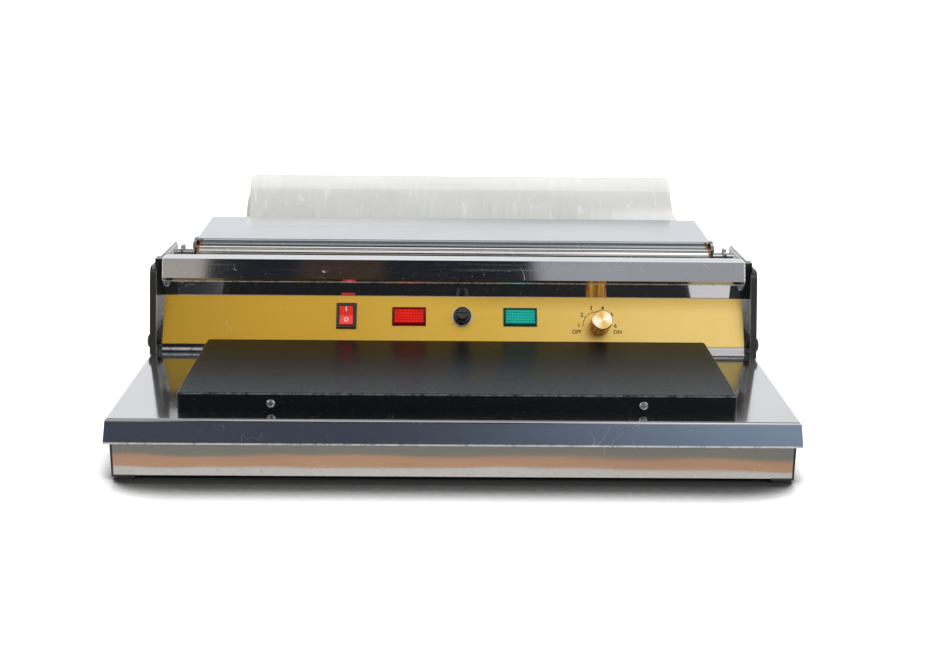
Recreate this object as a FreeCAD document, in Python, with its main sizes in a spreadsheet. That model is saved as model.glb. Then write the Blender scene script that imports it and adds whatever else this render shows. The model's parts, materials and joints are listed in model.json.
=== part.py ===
import FreeCAD, Part
import Sketcher
import math
import os
import re

# Cling film wrapping machine, tabletop. +Z up, the operator stands at -Y, +X to the operator's right.
# The origin is on the table, under the middle of the base. All sizes in millimetres and degrees.

SIZES = {
    # base: a folded deck tray on two black side rails, closed in front, behind and below
    "base_width": 480,
    "base_depth": 556,
    "deck_height": 46,
    "deck_gauge": 1.0,
    "lip_height": 17.8,
    "lip_flare": 2,
    "lip_hem": 5,
    "deck_bend": 2,
    "foot_height": 2.4,
    "foot_width": 14,
    "foot_length": 22,
    "rail_inset": 1.8,
    "rail_gauge": 1.2,
    "rail_flange": 16,
    "skirt_gauge": 1.0,
    "skirt_flange": 12,
    "skirt_setback": 2.5,
    "bottom_gauge": 1.0,
    "vent_count": 9,
    "vent_pitch": 14,
    "vent_length": 60,
    "vent_width": 4,
    "wire_hole": 12,
    "bush_inset": 70,
    "bush_rise": 14.5,
    "bush_neck": 13,
    "bush_cord": 7.5,
    "bush_rim": 19,
    "bush_rim_width": 4,
    "bush_snap": 14.4,
    "bush_depth": 9,
    "bush_wall": 1,
    "bush_nose": 0.5,
    # hot plate: a coated pan over a flat heating element
    "plate_inset": 43.5,
    "plate_offset": 2.3,
    "plate_depth": 130,
    "plate_height": 13,
    "plate_gauge": 1.2,
    "plate_bend": 2,
    "plate_setback": 18.5,
    "plate_corner": 3,
    "element_gauge": 2,
    "element_margin": 12,
    "angle_gauge": 1.2,
    "angle_leg": 9,
    "angle_inset": 25,
    "screw_inset": 66,
    "screw_rise": 5.6,
    "screw_head": 6.2,
    "screw_head_height": 2.2,
    "screw_shank": 3.4,
    "screw_reach": 6,
    # console: sloped control panel, wall, valley and shelf
    "console_inset": 8,
    "housing_inset": 18.5,
    "console_gauge": 1.0,
    "console_lean": 30,
    "console_lip": 10,
    "console_foot": 13,
    "fascia_gauge": 0.8,
    "fascia_slant": 40,
    "fascia_setback": 156.5,
    "fascia_rise": 6.4,
    "wall_rise": 21,
    "wall_lean": 13,
    "wall_ledge": 14,
    "valley_rise": 50,
    "valley_flange": 8,
    "shelf_inset": 108.5,
    "shelf_depth": 82,
    "shelf_rise": 67.5,
    "shelf_tilt": 2.5,
    "shelf_bend": 1.5,
    # black side plates and what they carry
    "side_gauge": 1.5,
    "side_flange": 5,
    "side_lead": 10.5,
    "side_length": 122,
    "side_lean": 18,
    "side_rise": 67,
    "side_drop": 3,
    "side_corner": 8,
    "side_angle_leg": 6,
    "side_angle_height": 15,
    "side_angle_short": 8,
    "side_angle_shift": 2,
    "bolt_rise": 8,
    "bolt_front": 12,
    "bolt_rear": 104,
    "bolt_head": 11,
    "bolt_head_height": 2.8,
    "bolt_shank": 5,
    "bolt_reach": 7.4,
    "bolt_clearance": 0.1,
    "channel_gauge": 1.2,
    "channel_inset": 12,
    "channel_rise": 57,
    "channel_face": 14.5,
    "channel_lean": 5.5,
    "channel_ledge": 15,
    "channel_lip": 4,
    "channel_lip_angle": 32,
    "channel_drop": 4,
    "bracket_gauge": 1.5,
    "bracket_inset": 20.9,
    "bracket_length": 10,
    "bracket_gap": 0.5,
    "end_screw_inset": 10,
    "end_screw_rise": 10,
    # cutter rod and guide roller, on the two bridge brackets
    "rod_outer": 11,
    "rod_wall": 1,
    "rod_inset": 25,
    "cutter_lead": 31,
    "cutter_rise": 62.5,
    "guide_lead": 14,
    "guide_rise": 64.5,
    "guide_shaft_end": 2,
    "guide_ear_rise": 1,
    "ring_width": 2,
    "ring_plug": 8,
    "ring_proud": 0.4,
    "shaft_size": 6,
    "shaft_clearance": 0.05,
    "heater_size": 7,
    "washer_size": 9.6,
    "washer_width": 2,
    "ear_gauge": 2,
    "ear_width": 13,
    "ear_gap": 0.3,
    "ear_tip": 6.5,
    "cutter_ear_inset": 10.5,
    "bush_outer": 9,
    "bush_flange": 11,
    "bush_flange_width": 0.8,
    "bridge_lead": 43,
    "bridge_length": 38,
    "bridge_flange": 14,
    # film cradle and the roll
    "film_beyond": 153,
    "film_offset": 6,
    "film_outer": 84,
    "film_inset": 38.5,
    "core_outer": 44,
    "core_bore": 38,
    "core_proud": 2,
    "cradle_spacing": 72,
    "cradle_rise": 14.2,
    "cradle_gauge": 2,
    "cradle_height": 28,
    "cradle_length": 108,
    "cradle_corner": 9,
    "cradle_flange": 14,
    "roller_outer": 22,
    "roller_wall": 1.5,
    "roller_inset": 23,
    "roller_hub": 10,
    "roller_shaft_end": 3,
    "roller_gap": 0.3,
    "film_gap": 0.3,
    "roller_shaft": 8,
    "cradle_bush_outer": 12,
    "cradle_bush_rim": 1,
    "tail_gauge": 0.4,
    "tail_leave": 55,
    "tail_gap": 6,
    "tail_drape": 0.7,
    "tail_belly": 1.3,
    "tail_straight": 20,
    "tail_hem": 6,
    # controls, measured across the panel from its middle and up its slope
    "control_rise": 23.5,
    "cutout_reach": 3,
    "rocker_place": -86,
    "rocker_width": 16.2,
    "rocker_height": 21,
    "rocker_flange": 2,
    "rocker_wall": 1.2,
    "rocker_body_width": 13.6,
    "rocker_body_height": 19,
    "rocker_body_depth": 15,
    "rocker_floor": 2,
    "button_radius": 8.1,
    "button_gap": 0.3,
    "button_pivot": 0.6,
    "button_rise": 4.4,
    "button_dip": 2.2,
    "button_throw": 10,
    "red_place": -36,
    "green_place": 53,
    "lens_width": 27,
    "lens_height": 15.6,
    "lens_depth": 3.2,
    "lens_bevel": 1.4,
    "lamp_width": 24.6,
    "lamp_height": 12.4,
    "lamp_depth": 20,
    "fuse_place": 6.6,
    "fuse_ring_size": 16.3,
    "fuse_ring_width": 1,
    "fuse_flange": 14.4,
    "fuse_flange_width": 2.4,
    "fuse_barrel": 12,
    "fuse_bore": 8,
    "fuse_depth": 32,
    "fuse_cap_size": 12.6,
    "fuse_cap_step": 10.4,
    "fuse_cap_height": 8,
    "fuse_cap_gap": 0.3,
    "fuse_glass": 5.2,
    "fuse_length": 20,
    "fuse_slot_width": 1.2,
    "fuse_slot_depth": 1.4,
    "fuse_cap_edge": 0.8,
    "fuse_cap_plug": 2,
    "fuse_cap_hold": 1,
    "fuse_seat": 3,
    "fuse_nose": 2,
    "knob_place": 117,
    "knob_rise": 17.4,
    "knob_size": 16.5,
    "knob_height": 17,
    "knob_stand": 1.2,
    "knob_bevel": 0.8,
    "knob_flutes": 24,
    "flute_size": 1.4,
    "knob_bore_depth": 12,
    "dial_angle": 22,
    "pointer_width": 1.2,
    "pointer_depth": 0.5,
    "spindle_size": 6,
    "thermostat_bush": 9,
    "thermostat_width": 30,
    "thermostat_height": 26,
    "thermostat_depth": 16,
    "spindle_clearance": 0.05,
    "spindle_float": 0.3,
    # power parts under the shelf
    "core_block_width": 66,
    "core_block_depth": 22,
    "core_block_height": 54,
    "coil_width": 44,
    "coil_depth": 44,
    "coil_height": 36,
    "transformer_inset": 120,
    "terminal_width": 70,
    "terminal_depth": 18,
    "terminal_height": 16,
    "terminal_inset": 130,
    "terminal_count": 6,
    "terminal_hole": 4,
}

# places that several pieces share, as formulas in the sheet's names
FRONT = "(-base_depth/2)"
CONSOLE_TOP_Y = "(-base_depth/2+fascia_setback+fascia_slant*sin(console_lean)+fascia_gauge*cos(console_lean))"
CONSOLE_TOP_Z = "(deck_height+fascia_rise+fascia_slant*cos(console_lean)-fascia_gauge*sin(console_lean))"
WALL_TOP_Y = f"({CONSOLE_TOP_Y}-wall_rise*tan(wall_lean))"
LEDGE_Y = f"({WALL_TOP_Y}+wall_ledge)"
VALLEY_Z = "(deck_height+valley_rise)"
SHELF_Y = f"({FRONT}+fascia_setback+shelf_inset)"
SIDE_Y = f"({FRONT}+fascia_setback-side_lead)"
CHANNEL_Y = f"({FRONT}+fascia_setback+channel_inset)"
BRACKET_Y = f"({FRONT}+fascia_setback+bracket_inset)"
CUTTER_Y = f"({SHELF_Y}-cutter_lead)"
GUIDE_Y = f"({SHELF_Y}-guide_lead)"
PLATE_WIDTH = "(base_width-2*plate_inset)"
SCREW_SPACING = f"({PLATE_WIDTH}-2*screw_inset)"
CONSOLE_WIDTH = "(base_width-2*console_inset)"
HOUSING_WIDTH = "(base_width-2*housing_inset)"
ROD_LENGTH = "(base_width-2*rod_inset)"
ROLLER_LENGTH = "(base_width-2*roller_inset)"
FILM_LENGTH = "(base_width-2*film_inset)"
CORE_LENGTH = f"({FILM_LENGTH}+2*core_proud)"
BUSH_X = "(base_width/2-bush_inset)"
TRANSFORMER_X = "(transformer_inset-base_width/2)"
TERMINAL_X = "(base_width/2-terminal_inset)"
SIDE_INNER = "(base_width/2-side_gauge)"
CHANNEL_TOP_Z = "(deck_height+channel_rise+channel_face)"
EAR_X = f"({ROD_LENGTH}/2+washer_width+ear_gap*2)"
CUTTER_EAR_X = f"({SIDE_INNER}-cutter_ear_inset)"
CRADLE_X = f"({ROLLER_LENGTH}/2+roller_gap)"
FILM_Y = f"({SHELF_Y}+film_beyond)"
CRADLE_Z = "(deck_height+cradle_rise)"
ROLL_REACH = "(film_outer/2+roller_outer/2+film_gap)"
FILM_Z = f"({CRADLE_Z}+sqrt({ROLL_REACH}*{ROLL_REACH}-cradle_spacing*cradle_spacing/4))"

doc = FreeCAD.newDocument("FilmWrapper")
sheet = doc.addObject("Spreadsheet::Sheet", "Sizes")
for row, (alias, value) in enumerate(SIZES.items(), start=1):
    sheet.set(f"A{row}", alias)
    sheet.set(f"B{row}", str(value))
    sheet.setAlias(f"B{row}", alias)
doc.recompute()

SHEET_NAMES = re.compile(r"\b(" + "|".join(SIZES) + r")\b")
YZ_TURN = FreeCAD.Rotation(
    FreeCAD.Vector(0, 1, 0), FreeCAD.Vector(0, 0, 1), FreeCAD.Vector(1, 0, 0), "ZXY")
XZ_TURN = FreeCAD.Rotation(FreeCAD.Vector(1, 0, 0), 90)
ALONG_X = FreeCAD.Rotation(FreeCAD.Vector(0, 1, 0), 90)
ALONG_Y = FreeCAD.Rotation(FreeCAD.Vector(1, 0, 0), -90)
ALONG_BACK = FreeCAD.Rotation(FreeCAD.Vector(1, 0, 0), 90)
nodes = {}


def bind(obj, prop, formula):
    """Tie a property to a formula written in the sheet's names."""
    obj.setExpression(prop, SHEET_NAMES.sub(r"Sizes.\1", str(formula)))


def node(obj, label):
    """Name a finished sub-part; its label is its file's name."""
    obj.Label = label
    nodes[label] = obj
    return obj


def place(obj, x="0", y="0", z="0", turn=None):
    if turn is not None:
        obj.Placement = FreeCAD.Placement(FreeCAD.Vector(), turn)
    for axis, formula in (("x", x), ("y", y), ("z", z)):
        bind(obj, f"Placement.Base.{axis}", formula)
    return obj


def on_panel(obj, across, up, out="0"):
    """Stand an object on the sloped fascia: its own Z points out of the panel, its Y up the slope."""
    obj.Placement = FreeCAD.Placement(FreeCAD.Vector(), FreeCAD.Rotation(FreeCAD.Vector(1, 0, 0), 60))
    bind(obj, "Placement.Rotation.Angle", "90-console_lean")
    bind(obj, "Placement.Base.x", across)
    bind(obj, "Placement.Base.y",
         f"{FRONT}+fascia_setback+({up})*sin(console_lean)-({out})*cos(console_lean)")
    bind(obj, "Placement.Base.z",
         f"deck_height+fascia_rise+({up})*cos(console_lean)+({out})*sin(console_lean)")
    return obj


def hold_point(sketch, edge, end, x, y):
    """Hold one end of a sketch line by its distances from the sketch's origin."""
    for kind, axis, formula in (("DistanceX", -2, x), ("DistanceY", -1, y)):
        if formula == "0":
            sketch.addConstraint(Sketcher.Constraint("PointOnObject", edge, end, axis))
        else:
            index = sketch.addConstraint(Sketcher.Constraint(kind, -1, 1, edge, end, 1.0))
            bind(sketch, f"Constraints[{index}]", formula)


def first_guess(step):
    return FreeCAD.Vector(10 * math.cos(step), 10 * math.sin(step), 0)


def polyline(sketch, points, closed):
    start = sketch.GeometryCount
    count = len(points) if closed else len(points) - 1
    for step in range(count):
        following = (step + 1) % len(points)
        sketch.addGeometry(Part.LineSegment(first_guess(step), first_guess(following)), False)
    for step in range(count if closed else count - 1):
        following = (step + 1) % count
        sketch.addConstraint(
            Sketcher.Constraint("Coincident", start + step, 2, start + following, 1))
    for step in range(count):
        hold_point(sketch, start + step, 1, *points[step])
    if not closed:
        hold_point(sketch, start + count - 1, 2, *points[-1])


def rectangle(sketch, x0, y0, x1, y1):
    polyline(sketch, [(x0, y0), (x1, y0), (x1, y1), (x0, y1)], True)


def ring(sketch, x, y, diameter):
    """A full circle about a held centre."""
    edge = sketch.addGeometry(Part.Circle(first_guess(0), FreeCAD.Vector(0, 0, 1), 1.0), False)
    hold_point(sketch, edge, 3, x, y)
    index = sketch.addConstraint(Sketcher.Constraint("Diameter", edge, 2.0))
    bind(sketch, f"Constraints[{index}]", diameter)


def body_sketch(body, role, height="0"):
    sketch = body.newObject("Sketcher::SketchObject", "Sketch")
    plane = [item for item in body.Origin.OriginFeatures if item.Role == role][0]
    sketch.AttachmentSupport = [(plane, "")]
    sketch.MapMode = "FlatFace"
    if height != "0":
        bind(sketch, "AttachmentOffset.Base.z", height)
    return sketch


def new_body(name):
    return doc.addObject("PartDesign::Body", name)


def pad(body, sketch, length, symmetric=False, taper=None):
    feature = body.newObject("PartDesign::Pad", "Pad")
    feature.Profile = sketch
    feature.Midplane = symmetric
    bind(feature, "Length", length)
    if taper is not None:
        bind(feature, "TaperAngle", taper)
    doc.recompute()
    return feature


def pocket(body, sketch, length, symmetric=False, forward=False, taper=None):
    """Cut inwards from the sketch, or along its normal when forward is set; it has to remove something."""
    before = body.Shape.Volume
    feature = body.newObject("PartDesign::Pocket", "Pocket")
    feature.Profile = sketch
    feature.Midplane = symmetric
    feature.Reversed = forward
    bind(feature, "Length", length)
    if taper is not None:
        bind(feature, "TaperAngle", taper)
    doc.recompute()
    if body.Shape.Volume >= before:
        raise RuntimeError(f"{body.Label}: a pocket cuts nothing")
    return feature


def revolve(body, sketch):
    feature = body.newObject("PartDesign::Revolution", "Turned")
    feature.Profile = sketch
    feature.ReferenceAxis = (sketch, ["V_Axis"])
    feature.Angle = 360
    doc.recompute()
    return feature


def round_edges(body, pick, radius, kind="Fillet", size="Radius"):
    """Round or bevel those edges of the body's last feature that pick() accepts."""
    last = body.Tip
    box = last.Shape.BoundBox
    names = [f"Edge{i}" for i, edge in enumerate(last.Shape.Edges, start=1) if pick(edge.BoundBox, box)]
    feature = body.newObject(f"PartDesign::{kind}", kind)
    feature.Base = (last, names)
    bind(feature, size, radius)
    doc.recompute()
    return feature


def is_upright(edge, whole):
    return edge.ZLength > 1 and edge.XLength < 1e-4 and edge.YLength < 1e-4


def is_at_top(edge, whole):
    return edge.ZMin > whole.ZMax - 1e-4


def turned(name, profile):
    """A body of revolution about its own Z; the profile's points are (radius, height)."""
    body = new_body(name)
    sketch = body_sketch(body, "XZ_Plane")
    polyline(sketch, profile, True)
    revolve(body, sketch)
    return body


def drum(radius, low, high, bore=None):
    """Profile of a plain cylinder or tube."""
    inner = "0" if bore is None else bore
    return [(inner, low), (radius, low), (radius, high), (inner, high)]


def folded(name, points, gauge, width, turn=YZ_TURN, bends="Arc"):
    """A folded sheet: its outer line swept across the width, with the metal on the inside."""
    line = doc.addObject("Sketcher::SketchObject", f"{name}_line")
    line.Placement = FreeCAD.Placement(FreeCAD.Vector(), turn)
    polyline(line, points, False)
    doc.recompute()
    skin = doc.addObject("Part::Offset2D", f"{name}_section")
    skin.Source = line
    skin.Mode = "Skin"
    skin.Join = bends
    skin.Fill = True
    bind(skin, "Value", gauge)
    sheet_metal = doc.addObject("Part::Extrusion", name)
    sheet_metal.Base = skin
    sheet_metal.DirMode = "Custom"
    sheet_metal.Dir = turn.multVec(FreeCAD.Vector(0, 0, 1))
    bind(sheet_metal, "LengthFwd", width)
    sheet_metal.Symmetric = True
    sheet_metal.Solid = True
    doc.recompute()
    return sheet_metal


def box(name, length, width, height):
    """A block centred on its own X and Y, standing on its own Z = 0."""
    body = new_body(name)
    sketch = body_sketch(body, "XY_Plane")
    rectangle(sketch, f"-({length})/2", f"-({width})/2", f"({length})/2", f"({width})/2")
    pad(body, sketch, height)
    return body


def cylinder(name, diameter, length):
    tool = doc.addObject("Part::Cylinder", name)
    bind(tool, "Radius", f"({diameter})/2")
    bind(tool, "Height", length)
    return tool


def cut(name, base, tools):
    """Take the tools out of the base, one after another."""
    for step, tool in enumerate(tools, start=1):
        result = doc.addObject("Part::Cut", f"{name}_{step}")
        result.Base = base
        result.Tool = tool
        base = result
    doc.recompute()
    return base


def group(name, members):
    """Identical pieces that share one node."""
    bundle = doc.addObject("Part::Compound", name)
    bundle.Links = members
    doc.recompute()
    return bundle


# base

def flared_block(body, kind, low, high, inset):
    """A block whose four sides flare out evenly towards the bottom, as the lip does."""
    wedge = body.newObject(f"PartDesign::{kind}", "Flare")
    wedge.Placement = FreeCAD.Placement(FreeCAD.Vector(), FreeCAD.Rotation(FreeCAD.Vector(1, 0, 0), 90))
    bind(wedge, "Ymin", low)
    bind(wedge, "Ymax", high)
    for axis, size in (("X", "base_width"), ("Z", "base_depth")):
        for end, level in (("", low), ("2", high)):
            half = f"({size}/2+lip_flare*(deck_height-({level}))/lip_height-({inset}))"
            bind(wedge, f"{axis}{end}min", f"-{half}")
            bind(wedge, f"{axis}{end}max", half)
    doc.recompute()
    return wedge


def make_deck_tray():
    """The tray's lip hangs down all round and ends in a hem, where the sheet is folded back double."""
    body = new_body("deck")
    low = "deck_height-lip_height"
    flared_block(body, "AdditiveWedge", low, "deck_height", "0")
    round_edges(body, is_at_top, "deck_bend")
    flared_block(body, "SubtractiveWedge", low, "deck_height-deck_gauge", "deck_gauge*2")
    flared_block(body, "SubtractiveWedge", f"{low}+lip_hem", "deck_height-deck_gauge", "deck_gauge")
    holes = body_sketch(body, "XY_Plane", "deck_height")
    ring(holes, "0", f"{FRONT}+plate_setback+plate_depth*0.8", "wire_hole")
    ring(holes, f"{TRANSFORMER_X}/2", f"{SHELF_Y}-core_block_depth", "wire_hole*2")
    pocket(body, holes, "deck_gauge*2")
    node(body, "deck_tray")


def make_base_panels():
    low = "foot_height+rail_gauge"
    for side, label in (("-", "base_front_panel"), ("", "base_rear_panel")):
        outer = f"{side}(base_depth/2-skirt_setback)"
        inner = f"{side}(base_depth/2-skirt_setback-skirt_flange)"
        high = "deck_height-deck_gauge-rail_gauge"
        line = [(inner, low), (outer, low), (outer, high), (inner, high)]
        gauge = "skirt_gauge" if side else "-skirt_gauge"
        panel = folded(label, line, gauge, "base_width-2*rail_inset-2*rail_gauge")
        if not side:
            hole = place(cylinder("bush_hole", "bush_neck", "skirt_gauge*4"), BUSH_X,
                         "base_depth/2-skirt_setback-2*skirt_gauge", "bush_rise", ALONG_Y)
            panel = cut("rear_panel", panel, [hole])
        node(panel, label)


def make_rails():
    for side, label in (("-", "side_rail_left"), ("", "side_rail_right")):
        outer = f"{side}(base_width/2-rail_inset)"
        inner = f"{side}(base_width/2-rail_inset-rail_flange)"
        line = [(inner, "foot_height"), (outer, "foot_height"), (outer, "deck_height-deck_gauge"),
                (inner, "deck_height-deck_gauge")]
        rail = folded(label, line, "-rail_gauge" if side else "rail_gauge",
                      "base_depth-2*rail_inset", XZ_TURN)
        node(rail, label)


def make_bottom_plate():
    body = new_body("bottom")
    sketch = body_sketch(body, "XY_Plane", "foot_height+rail_gauge")
    half = "(base_width/2-rail_inset-rail_gauge)"
    deep = "(base_depth/2-skirt_setback-skirt_flange)"
    rectangle(sketch, f"-{half}", f"-{deep}", half, deep)
    pad(body, sketch, "bottom_gauge")
    vent = body_sketch(body, "XY_Plane", "foot_height+rail_gauge+bottom_gauge")
    start = "-(vent_count-1)*vent_pitch/2"
    rectangle(vent, f"{start}-vent_width/2", "-vent_length/2", f"{start}+vent_width/2", "vent_length/2")
    slot = pocket(body, vent, "bottom_gauge*2")
    row = body.newObject("PartDesign::LinearPattern", "VentRow")
    row.Originals = [slot]
    row.Direction = (vent, ["H_Axis"])
    bind(row, "Length", "(vent_count-1)*vent_pitch")
    bind(row, "Occurrences", "vent_count")
    body.Tip = row
    doc.recompute()
    node(body, "bottom_plate")


def make_feet():
    feet = []
    for across in ("-", ""):
        for along in ("-", ""):
            foot = box("foot", "foot_width", "foot_length", "foot_height")
            round_edges(foot, is_upright, "foot_width/6")
            place(foot, f"{across}(base_width/2-rail_inset-rail_flange/2)",
                  f"{along}(base_depth/2-rail_inset-foot_length/2-rail_gauge)")
            feet.append(foot)
    node(group("feet", feet), "rubber_feet")


def make_cord_bush():
    """The snap-in bush that the supply cord enters by: a rim outside the rear panel, a barb inside."""
    inside = "(-skirt_gauge)"
    bush = turned("bush", [
        ("bush_cord/2", "-bush_depth"), ("bush_neck/2-bush_wall", "-bush_depth"),
        ("bush_snap/2", f"{inside}-bush_nose"),
        ("bush_snap/2", inside), ("bush_neck/2", inside), ("bush_neck/2", "0"), ("bush_rim/2", "0"),
        ("bush_rim/2", "bush_rim_width-bush_wall*1.5"), ("bush_rim/2-bush_wall*1.5", "bush_rim_width"),
        ("bush_cord/2+bush_wall", "bush_rim_width"), ("bush_cord/2", "bush_rim_width-bush_wall")])
    place(bush, BUSH_X, "base_depth/2-skirt_setback", "bush_rise", ALONG_Y)
    node(bush, "cord_bush")


# hot plate

def make_hot_plate():
    body = new_body("hot_plate")
    sketch = body_sketch(body, "XY_Plane")
    rectangle(sketch, f"-{PLATE_WIDTH}/2", "0", f"{PLATE_WIDTH}/2", "plate_depth")
    pad(body, sketch, "plate_height")
    round_edges(body, is_upright, "plate_corner")
    round_edges(body, is_at_top, "plate_bend")
    hollow = body_sketch(body, "XY_Plane")
    rectangle(hollow, f"-{PLATE_WIDTH}/2+plate_gauge", "plate_gauge",
              f"{PLATE_WIDTH}/2-plate_gauge", "plate_depth-plate_gauge")
    pocket(body, hollow, "plate_height-plate_gauge", forward=True)
    holes = body_sketch(body, "XZ_Plane")
    for side in ("-", ""):
        ring(holes, f"{side}{SCREW_SPACING}/2", "screw_rise", "screw_shank")
    pocket(body, holes, "plate_depth*3", symmetric=True)
    place(body, "plate_offset", f"{FRONT}+plate_setback", "deck_height")
    node(body, "hot_plate_cover")


def make_heater():
    middle = f"{FRONT}+plate_setback+plate_depth/2"
    width = f"{PLATE_WIDTH}-2*element_margin"
    depth = "plate_depth-2*element_margin"
    under = "(plate_height-plate_gauge-element_gauge)"
    element = box("element", width, depth, "element_gauge")
    place(element, "plate_offset", middle, f"deck_height+{under}")
    node(element, "heater_element")
    pad_block = box("pad", width, depth, under)
    place(pad_block, "plate_offset", middle, "deck_height")
    node(pad_block, "insulation_pad")


def make_hot_plate_angles():
    """Two angle strips on the deck, just inside the cover's skirts, that the screws bite into."""
    strips = []
    for skirt, way, gauge in (("plate_gauge", "+", "angle_gauge"),
                              ("plate_depth-plate_gauge", "-", "-angle_gauge")):
        face = f"{FRONT}+plate_setback+{skirt}"
        line = [(f"{face}{way}angle_leg", "deck_height"), (face, "deck_height"),
                (face, "deck_height+plate_height-plate_gauge*2")]
        strip = folded("angle_strip", line, gauge, f"{PLATE_WIDTH}-2*angle_inset")
        place(strip, "plate_offset")
        holes = []
        for side in ("-", ""):
            hole = cylinder("strip_hole", "screw_shank", "angle_gauge*4")
            place(hole, f"plate_offset+({side}{SCREW_SPACING}/2)", f"{face}-angle_gauge*2",
                  "deck_height+screw_rise", ALONG_Y)
            holes.append(hole)
        strips.append(cut("strip", strip, holes))
    node(group("angles", strips), "hot_plate_angles")


def make_pan_head_screw(name):
    """A pan head on its seat at Z = 0, the shank pointing down, with a cross recess."""
    screw = turned(name, [
        ("0", "-screw_reach"), ("screw_shank/2", "-screw_reach"), ("screw_shank/2", "0"),
        ("screw_head/2", "0"), ("screw_head/2", "screw_head_height*0.5"),
        ("screw_head*0.4", "screw_head_height*0.85"), ("screw_head*0.25", "screw_head_height"),
        ("0", "screw_head_height")])
    recess = body_sketch(screw, "XY_Plane", "screw_head_height")
    rectangle(recess, "-screw_head*0.3", "-screw_head*0.06", "screw_head*0.3", "screw_head*0.06")
    pocket(screw, recess, "screw_head_height*0.6")
    crossing = body_sketch(screw, "XY_Plane", "screw_head_height")
    rectangle(crossing, "-screw_head*0.06", "-screw_head*0.3", "screw_head*0.06", "screw_head*0.3")
    pocket(screw, crossing, "screw_head_height*0.6")
    return screw


def make_screws():
    screws = []
    front_face = f"{FRONT}+plate_setback"
    for side in ("-", ""):
        for face, turn in ((front_face, ALONG_BACK), (f"{front_face}+plate_depth", ALONG_Y)):
            screw = make_pan_head_screw("plate_screw")
            screws.append(place(screw, f"plate_offset+({side}{SCREW_SPACING}/2)", face,
                                "deck_height+screw_rise", turn))
        screw = make_pan_head_screw("end_screw")
        screws.append(place(screw, f"{side}(base_width/2-end_screw_inset)", BRACKET_Y,
                            f"{CONSOLE_TOP_Z}+end_screw_rise", ALONG_BACK))
    node(group("screws", screws), "pan_head_screws")


# console

def make_cutouts():
    """One set of tools that opens the console sheet and its fascia for the controls."""
    depth = "console_gauge+fascia_gauge+2*cutout_reach"
    back = "-console_gauge-fascia_gauge-cutout_reach"
    tools = []
    for across, width, height in (("rocker_place", "rocker_body_width", "rocker_body_height"),
                                  ("red_place", "lamp_width", "lamp_height"),
                                  ("green_place", "lamp_width", "lamp_height")):
        tools.append(on_panel(box("opening", width, height, depth), across, "control_rise", back))
    for across, up, size in (("fuse_place", "control_rise", "fuse_barrel"),
                             ("knob_place", "knob_rise", "thermostat_bush")):
        tools.append(on_panel(cylinder("round_opening", size, depth), across, up, back))
    return tools


def make_console():
    tools = make_cutouts()
    foot_y = f"({CONSOLE_TOP_Y}-({CONSOLE_TOP_Z}-deck_height)*tan(console_lean))"
    line = [(f"{foot_y}+console_foot", "deck_height"), (foot_y, "deck_height"),
            (CONSOLE_TOP_Y, CONSOLE_TOP_Z), (f"{CONSOLE_TOP_Y}+console_lip", CONSOLE_TOP_Z)]
    console = folded("console_sheet", line, "console_gauge", CONSOLE_WIDTH)
    node(cut("console", console, tools), "console_panel")
    fascia = box("fascia_blank", CONSOLE_WIDTH, "fascia_slant", "fascia_gauge")
    on_panel(fascia, "0", "fascia_slant/2", "-fascia_gauge")
    node(cut("fascia", fascia, tools), "fascia_plate")


def make_upper_wall():
    """The polished wall leans forward over the console and turns back under the channel bar."""
    top = f"{CONSOLE_TOP_Z}+wall_rise"
    line = [(f"{CONSOLE_TOP_Y}+console_lip", CONSOLE_TOP_Z), (CONSOLE_TOP_Y, CONSOLE_TOP_Z),
            (WALL_TOP_Y, top), (LEDGE_Y, top), (LEDGE_Y, f"{VALLEY_Z}-valley_flange")]
    node(folded("wall_sheet", line, "console_gauge", HOUSING_WIDTH), "upper_wall")


def make_valley_tray():
    low = f"{VALLEY_Z}-valley_flange"
    line = [(LEDGE_Y, low), (LEDGE_Y, VALLEY_Z), (SHELF_Y, VALLEY_Z), (SHELF_Y, low)]
    node(folded("tray_sheet", line, "console_gauge", HOUSING_WIDTH), "valley_tray")


def make_shelf_cover():
    body = new_body("shelf")
    sketch = body_sketch(body, "YZ_Plane")
    polyline(sketch, [("0", "0"), ("0", "shelf_rise"), ("shelf_depth", "shelf_rise+shelf_tilt"),
                      ("shelf_depth", "0")], True)
    pad(body, sketch, HOUSING_WIDTH, symmetric=True)
    round_edges(body, lambda edge, whole: edge.ZMin > whole.ZMax * 0.9, "shelf_bend")
    hollow = body_sketch(body, "YZ_Plane")
    polyline(hollow, [("console_gauge", "0"), ("console_gauge", "shelf_rise-console_gauge"),
                      ("shelf_depth-console_gauge", "shelf_rise+shelf_tilt-console_gauge"),
                      ("shelf_depth-console_gauge", "0")], True)
    pocket(body, hollow, f"{HOUSING_WIDTH}-2*console_gauge", symmetric=True)
    place(body, y=SHELF_Y, z="deck_height")
    node(body, "shelf_cover")


# side plates, channel bar

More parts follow.
